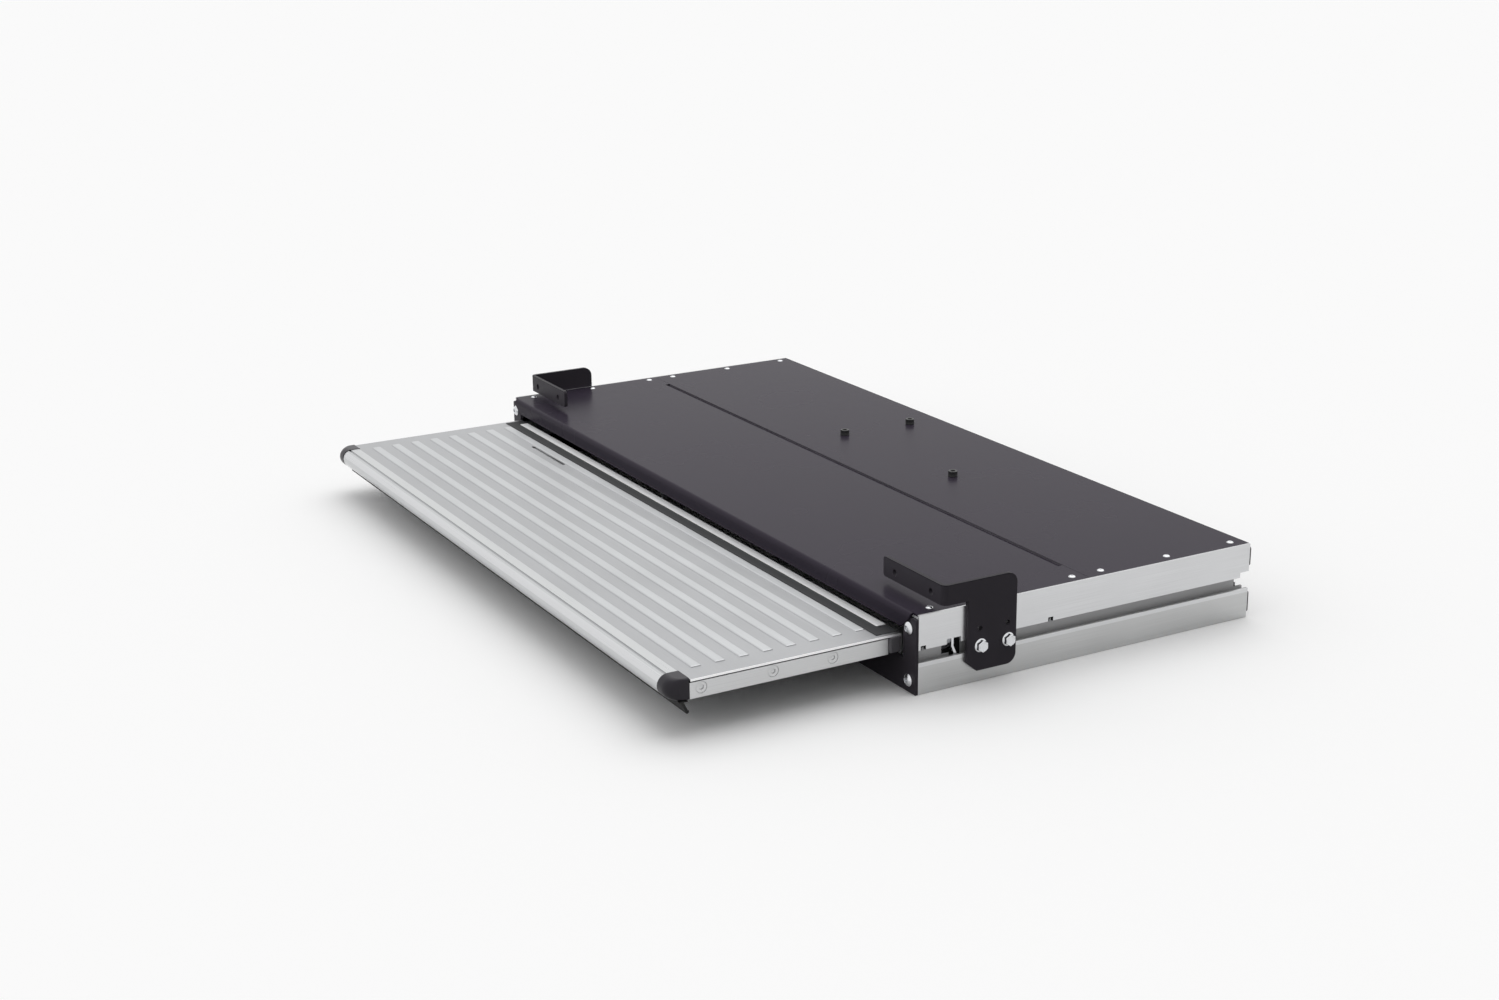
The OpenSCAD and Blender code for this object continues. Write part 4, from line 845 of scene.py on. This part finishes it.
# How far the flank has come in, and how high it is, in millimetres
RIB_FLANK = [(-0.08, -0.6), (0.18, 0.1), (0.75, 0.5), (1.3, 0.88), (1.7, 1.0)]
rib = stacked("rib_design", [rounded_rectangle(RIB_HALF - into, RIB_W / 2 - into, 1.9 - 0.7 * into,
                                               TREAD_TOP + up * RIB_H) for into, up in RIB_FLANK])
DRAIN_HALF, DRAIN_R = 43.4, 1.9
slot_cutter = stacked("drain_cutter", [
    rounded_rectangle(DRAIN_HALF, DRAIN_R, DRAIN_R - 0.001, height)
    for height in (TREAD_TOP - 5, TREAD_TOP + 5)])

# %% Plan of the sheet
def outline_face(name, points):
    """One flat face through points in metres."""
    mesh = bpy.data.meshes.new(name)
    mesh.from_pydata(points, [], [tuple(range(len(points)))])
    return mesh


sheet_low = (TREAD_TOP - SHEET_T) * MM
strip_front = CAP_BACK + 0.2
half_plan = [(TREAD_HALF, TREAD_BACK), (TREAD_HALF, strip_front), (CAP_IN, strip_front),
             (CAP_IN, SEAM_Y)]
plan = half_plan + [(-x, y) for x, y in reversed(half_plan)]
sheet_plan = outline_face("sheet_plan", [(x * MM, y * MM, sheet_low) for x, y in plan])
print("sheet plan has", len(plan), "corners")

# %% The tree that draws a section into a bar
draw_tree, given, result = new_tree("drawn_bar")
tree_input(draw_tree, "Run", "NodeSocketVector")
tree_input(draw_tree, "Finish", "NodeSocketMaterial")
draw_out = draw_tree.nodes.new("GeometryNodeExtrudeMesh")
draw_out.mode = "FACES"
draw_out.inputs["Individual"].default_value = False
start_face = draw_tree.nodes.new("GeometryNodeFlipFaces")
together = draw_tree.nodes.new("GeometryNodeJoinGeometry")
close_up = draw_tree.nodes.new("GeometryNodeMergeByDistance")
close_up.inputs["Distance"].default_value = 0.0000005
solid = draw_tree.nodes.new("GeometryNodeRealizeInstances")
coat_on = draw_tree.nodes.new("GeometryNodeSetMaterial")
link = draw_tree.links.new
link(given.outputs["Geometry"], draw_out.inputs["Mesh"])
link(given.outputs["Run"], draw_out.inputs["Offset"])
link(given.outputs["Geometry"], start_face.inputs["Mesh"])
link(start_face.outputs["Mesh"], together.inputs["Geometry"])
link(draw_out.outputs["Mesh"], together.inputs["Geometry"])
link(together.outputs["Geometry"], close_up.inputs["Geometry"])
link(close_up.outputs["Geometry"], solid.inputs["Geometry"])
link(solid.outputs["Geometry"], coat_on.inputs["Geometry"])
link(given.outputs["Finish"], coat_on.inputs["Material"])
link(coat_on.outputs["Geometry"], result.inputs["Geometry"])


def drawn(name, section, run, material):
    """A section face pushed along run, as a closed mesh with outward faces."""
    piece = grow(put(section, name), draw_tree, Run=Vector(run) * MM, Finish=material)
    shape = bmesh.new()
    shape.from_mesh(piece.data)
    bmesh.ops.recalc_face_normals(shape, faces=shape.faces)
    shape.to_mesh(piece.data)
    shape.free()
    return piece


# %% The tree that puts ribs on the sheet
rib_tree, given, result = new_tree("ribbed_tread")
tree_input(rib_tree, "Rib", "NodeSocketObject")
tree_input(rib_tree, "Slot", "NodeSocketObject")
tree_input(rib_tree, "Count", "NodeSocketInt")
tree_input(rib_tree, "First", "NodeSocketVector")
tree_input(rib_tree, "Pitch", "NodeSocketVector")
tree_input(rib_tree, "Finish", "NodeSocketMaterial")
line = rib_tree.nodes.new("GeometryNodeMeshLine")
line.mode = "OFFSET"
rib_info = rib_tree.nodes.new("GeometryNodeObjectInfo")
slot_info = rib_tree.nodes.new("GeometryNodeObjectInfo")
each = rib_tree.nodes.new("GeometryNodeInstanceOnPoints")
ribs = rib_tree.nodes.new("GeometryNodeRealizeInstances")
unite = rib_tree.nodes.new("GeometryNodeMeshBoolean")
unite.operation = "UNION"
cut = rib_tree.nodes.new("GeometryNodeMeshBoolean")
cut.operation = "DIFFERENCE"
for step in (unite, cut):
    step.solver = "EXACT"
solid = rib_tree.nodes.new("GeometryNodeRealizeInstances")
coat_on = rib_tree.nodes.new("GeometryNodeSetMaterial")
link = rib_tree.links.new
link(given.outputs["Count"], line.inputs["Count"])
link(given.outputs["First"], line.inputs["Start Location"])
link(given.outputs["Pitch"], line.inputs["Offset"])
link(given.outputs["Rib"], rib_info.inputs["Object"])
link(given.outputs["Slot"], slot_info.inputs["Object"])
link(line.outputs["Mesh"], each.inputs["Points"])
link(rib_info.outputs["Geometry"], each.inputs["Instance"])
link(each.outputs["Instances"], ribs.inputs["Geometry"])
link(given.outputs["Geometry"], unite.inputs["Mesh 2"])
link(ribs.outputs["Geometry"], unite.inputs["Mesh 2"])
link(unite.outputs["Mesh"], cut.inputs["Mesh 1"])
link(slot_info.outputs["Geometry"], cut.inputs["Mesh 2"])
link(cut.outputs["Mesh"], solid.inputs["Geometry"])
link(solid.outputs["Geometry"], coat_on.inputs["Geometry"])
link(given.outputs["Finish"], coat_on.inputs["Material"])
link(coat_on.outputs["Geometry"], result.inputs["Geometry"])
print("trees", draw_tree.name, "and", rib_tree.name, "made")

# %% Ribbed tread
DRAIN_X, DRAIN_Y = -260.0, -39.1

rib_pattern = put(rib, "rib_pattern")
slot_pattern = put(slot_cutter, "slot_pattern")
slot_pattern.data.transform(Matrix.Translation((DRAIN_X * MM, DRAIN_Y * MM, 0)))
tread = drawn("ribbed_tread", sheet_plan, (0, 0, SHEET_T), tread_metal)
tread = grow(tread, rib_tree, Rib=rib_pattern, Slot=slot_pattern, Count=RIB_COUNT,
             First=Vector((0, RIB_FIRST_Y - RIB_W / 2, 0)) * MM,
             Pitch=Vector((0, -RIB_PITCH, 0)) * MM, Finish=tread_metal)
for pattern in (rib_pattern, slot_pattern):
    bpy.data.objects.remove(pattern)
bevel = tread.modifiers.new("edge_radius", "BEVEL")
bevel.width, bevel.segments = 0.3 * MM, 2
bevel.limit_method, bevel.angle_limit = "ANGLE", math.radians(50)
seat(shaded(settled(tread)), "step", "tread_aluminium", tread_metal, "tread_sheet")

# %% [markdown]
# ## Nose, seal and strips
# The front of the tread is a hollow bullnose extrusion, and the seal below it is an extruded
# rubber lip. Both have one section from end to end, so the section is drawn once, as an outline
# with a radius at each corner, and the same tree pushes it across the step. The hollow is a
# second loop in the section.

# %% Sections with round corners
def rounded_path(corners, arc=5):
    """Points along an outline whose corners are (y, z, radius)."""
    points = []
    count = len(corners)
    for i, (y, z, radius) in enumerate(corners):
        here = Vector((y, z))
        before = Vector(corners[i - 1][:2]) - here
        after = Vector(corners[(i + 1) % count][:2]) - here
        if radius <= 0:
            points.append(here)
            continue
        half_angle = before.angle(after) / 2
        back_off = radius / math.tan(half_angle)
        start, end = here + before.normalized() * back_off, here + after.normalized() * back_off
        centre = here + (before.normalized() + after.normalized()).normalized() \
            * (radius / math.sin(half_angle))
        a, b = start - centre, end - centre
        turn = a.angle_signed(b)
        for step in range(arc + 1):
            points.append(centre + Matrix.Rotation(-turn * step / arc, 2) @ a)
    return points


def section(name, x, loops):
    """A flat region at x between an outer loop and the loops inside it."""
    flat = [[Vector((p.x, p.y, 0)) for p in loop] for loop in loops]
    corners = [p for loop in flat for p in loop]
    faces = tessellate_polygon(flat)
    mesh = bpy.data.meshes.new(name)
    mesh.from_pydata([(x * MM, p.x * MM, p.y * MM) for p in corners], [], faces)
    shape = bmesh.new()
    shape.from_mesh(mesh)
    bmesh.ops.recalc_face_normals(shape, faces=shape.faces)
    shape.to_mesh(mesh)
    shape.free()
    return mesh


NOSE_Y, NOSE_Z, NOSE_R, NOSE_WALL = -225.8, 43.25, 9.75, 2.0
GROOVE_Y, GROOVE_W, GROOVE_H = -227.2, 2.0, 0.9
LEDGE_BACK, NOSE_TOP, NOSE_LOW = -207.5, 53.0, 33.5


def half_round(radius, steps=28):
    """Front half of the bullnose, from its foot up to its top."""
    return [Vector((NOSE_Y - radius * math.sin(math.pi * i / steps),
                    NOSE_Z - radius * math.cos(math.pi * i / steps))) for i in range(steps + 1)]


front_half = [point for point in half_round(NOSE_R)
              if point.x < GROOVE_Y - GROOVE_W or point.y < 43]
groove_front, groove_back = GROOVE_Y - GROOVE_W / 2, GROOVE_Y + GROOVE_W / 2
back_path = rounded_path([
    (front_half[-1].x, front_half[-1].y, 0), (groove_front - 0.3, NOSE_TOP - 0.35, 0.3),
    (groove_front, NOSE_TOP - GROOVE_H, 0.3), (groove_back, NOSE_TOP - GROOVE_H, 0.3),
    (groove_back + 0.3, NOSE_TOP, 0.4), (SEAM_Y, NOSE_TOP, 0.6), (SEAM_Y, 50, 0.1),
    (LEDGE_BACK, 50, 0.3), (LEDGE_BACK, 48, 0.3), (SEAM_Y, 48, 0.4), (SEAM_Y, NOSE_LOW, 0.6),
    (NOSE_Y, NOSE_LOW, 0)])
hollow = half_round(NOSE_R - NOSE_WALL) + rounded_path([
    (NOSE_Y, NOSE_TOP - NOSE_WALL, 0), (SEAM_Y - NOSE_WALL, NOSE_TOP - NOSE_WALL, 0.6),
    (SEAM_Y - NOSE_WALL, NOSE_LOW + NOSE_WALL, 0.6), (NOSE_Y, NOSE_LOW + NOSE_WALL, 0)])[1:-1]
outer = front_half + back_path[1:-1]
nose = drawn("bullnose", section("nose_section", -CAP_IN, [outer, hollow]),
             (2 * CAP_IN, 0, 0), nose_metal)
seat(shaded(nose, 28), "step", "tread_aluminium", nose_metal, "nose_profile")

# %% Rubber seal below the nose
SEAL_TOP, SEAL_FOOT, SEAL_T, SEAL_HALF = 33.5, 32.4, 2.5, 416.5
lip_root, lip_tip = Vector((-222.2, 32.4)), Vector((-217.7, 23.3))
along = (lip_tip - lip_root).normalized()
across = Vector((-along.y, along.x))
BULB_R, BULB_OPEN = 1.75, math.radians(130)
bulb = [lip_tip + Matrix.Rotation(BULB_OPEN * (2 * i / 14 - 1), 2) @ along * BULB_R
        for i in range(15)]
if (bulb[0] - lip_root).dot(across) < 0:
    bulb.reverse()
foot_front, foot_back = NOSE_Y + 0.6, NOSE_Y + 9
seal_loop = rounded_path([(foot_back, SEAL_TOP, 0.2), (foot_back, SEAL_FOOT, 0.3),
                          (lip_root.x + SEAL_T / 2, SEAL_FOOT, 0)]) + bulb \
    + rounded_path([(lip_root.x - SEAL_T / 2, SEAL_FOOT, 0), (foot_front, SEAL_FOOT, 0.3),
                    (foot_front, SEAL_TOP, 0.2)])
seal = drawn("seal_lip", section("seal_section", -SEAL_HALF, [seal_loop]),
             (2 * SEAL_HALF, 0, 0), seal_rubber)
seat(shaded(seal, 40), "step", "seal_rubber", seal_rubber, "nose_seal")

# %% Rubber strip and bright trim
seat(softened("grip_strip", "rubber_strip", 0.25), "step", "grip_rubber", grip_rubber,
     "rubber_strip")
seat(softened("bright_trim", "rear_trim", 0.3), "step", "trim_aluminium", trim_metal, "rear_trim")

# %% [markdown]
# ## End caps
# The caps are moulded and carry the bullnose round the corner. A bevel can't do that where two
# curved faces meet, so the cap is lofted: sections of the bullnose stand along X, and towards
# the outer end each one moves back along a circle and shrinks along a smaller one. The first
# sections are the plug that sits in the hollow of the nose.

# %% Lofted end caps
CAP_Y, CAP_Z, CAP_R, CAP_OUT = -226.0, 43.5, 10.0, 417.0
CORNER_R, EDGE_R, PLUG_R, PLUG_LEN = 12.0, 2.6, 7.5, 12.0


def cap_section(x, shift, inset):
    """Bullnose section at x, moved back by shift and drawn in by inset."""
    radius = CAP_R - inset
    back = CAP_BACK - inset * 0.6
    centre = min(CAP_Y + shift, back - 1.2)
    rows = [(centre - radius * math.sin(math.pi * i / 24),
             CAP_Z - radius * math.cos(math.pi * i / 24)) for i in range(25)]
    ease = min(1.2, back - centre - 0.1)
    for side in (1, -1):
        for i in range(5):
            turn = math.radians(90 * i / 4)
            swing = (math.sin(turn), math.cos(turn))
            if side < 0:
                swing = (math.cos(turn), math.sin(turn))
            rows.append((back - ease + ease * swing[0],
                         CAP_Z + side * (radius - ease + ease * swing[1])))
    return [(x * MM, y * MM, z * MM) for y, z in rows]


def plug_section(x, count):
    return [(x * MM, (NOSE_Y - PLUG_R * math.sin(2 * math.pi * (i + 0.5) / count)) * MM,
             (NOSE_Z - PLUG_R * math.cos(2 * math.pi * (i + 0.5) / count)) * MM)
            for i in range(count)]


def rounding(x, start, radius):
    """How far a circle of that radius has come in at x, when it begins at start."""
    return radius - math.sqrt(max(radius ** 2 - max(x - start, 0) ** 2, 0))


stations = [CAP_IN, 401, 405] + [CAP_OUT - CORNER_R * (1 - math.sin(math.radians(a)))
                                 for a in (12, 24, 34, 43, 51, 58, 65, 71, 76, 81, 86, 90)]
points_round = len(cap_section(0, 0, 0))
for side, sign in (("right", 1), ("left", -1)):
    rows = [plug_section(CAP_IN - PLUG_LEN, points_round), plug_section(CAP_IN, points_round)]
    rows += [cap_section(x, rounding(x, CAP_OUT - CORNER_R, CORNER_R),
                         rounding(x, CAP_OUT - EDGE_R, EDGE_R)) for x in stations]
    rows = [[(sign * x, y, z) for x, y, z in row] for row in rows]
    cap = put(stacked("corner_cap_" + side, rows), "corner_cap_" + side)
    seat(shaded(cap, 40), "step", "cap_plastic", cap_plastic, "end_cap_" + side)
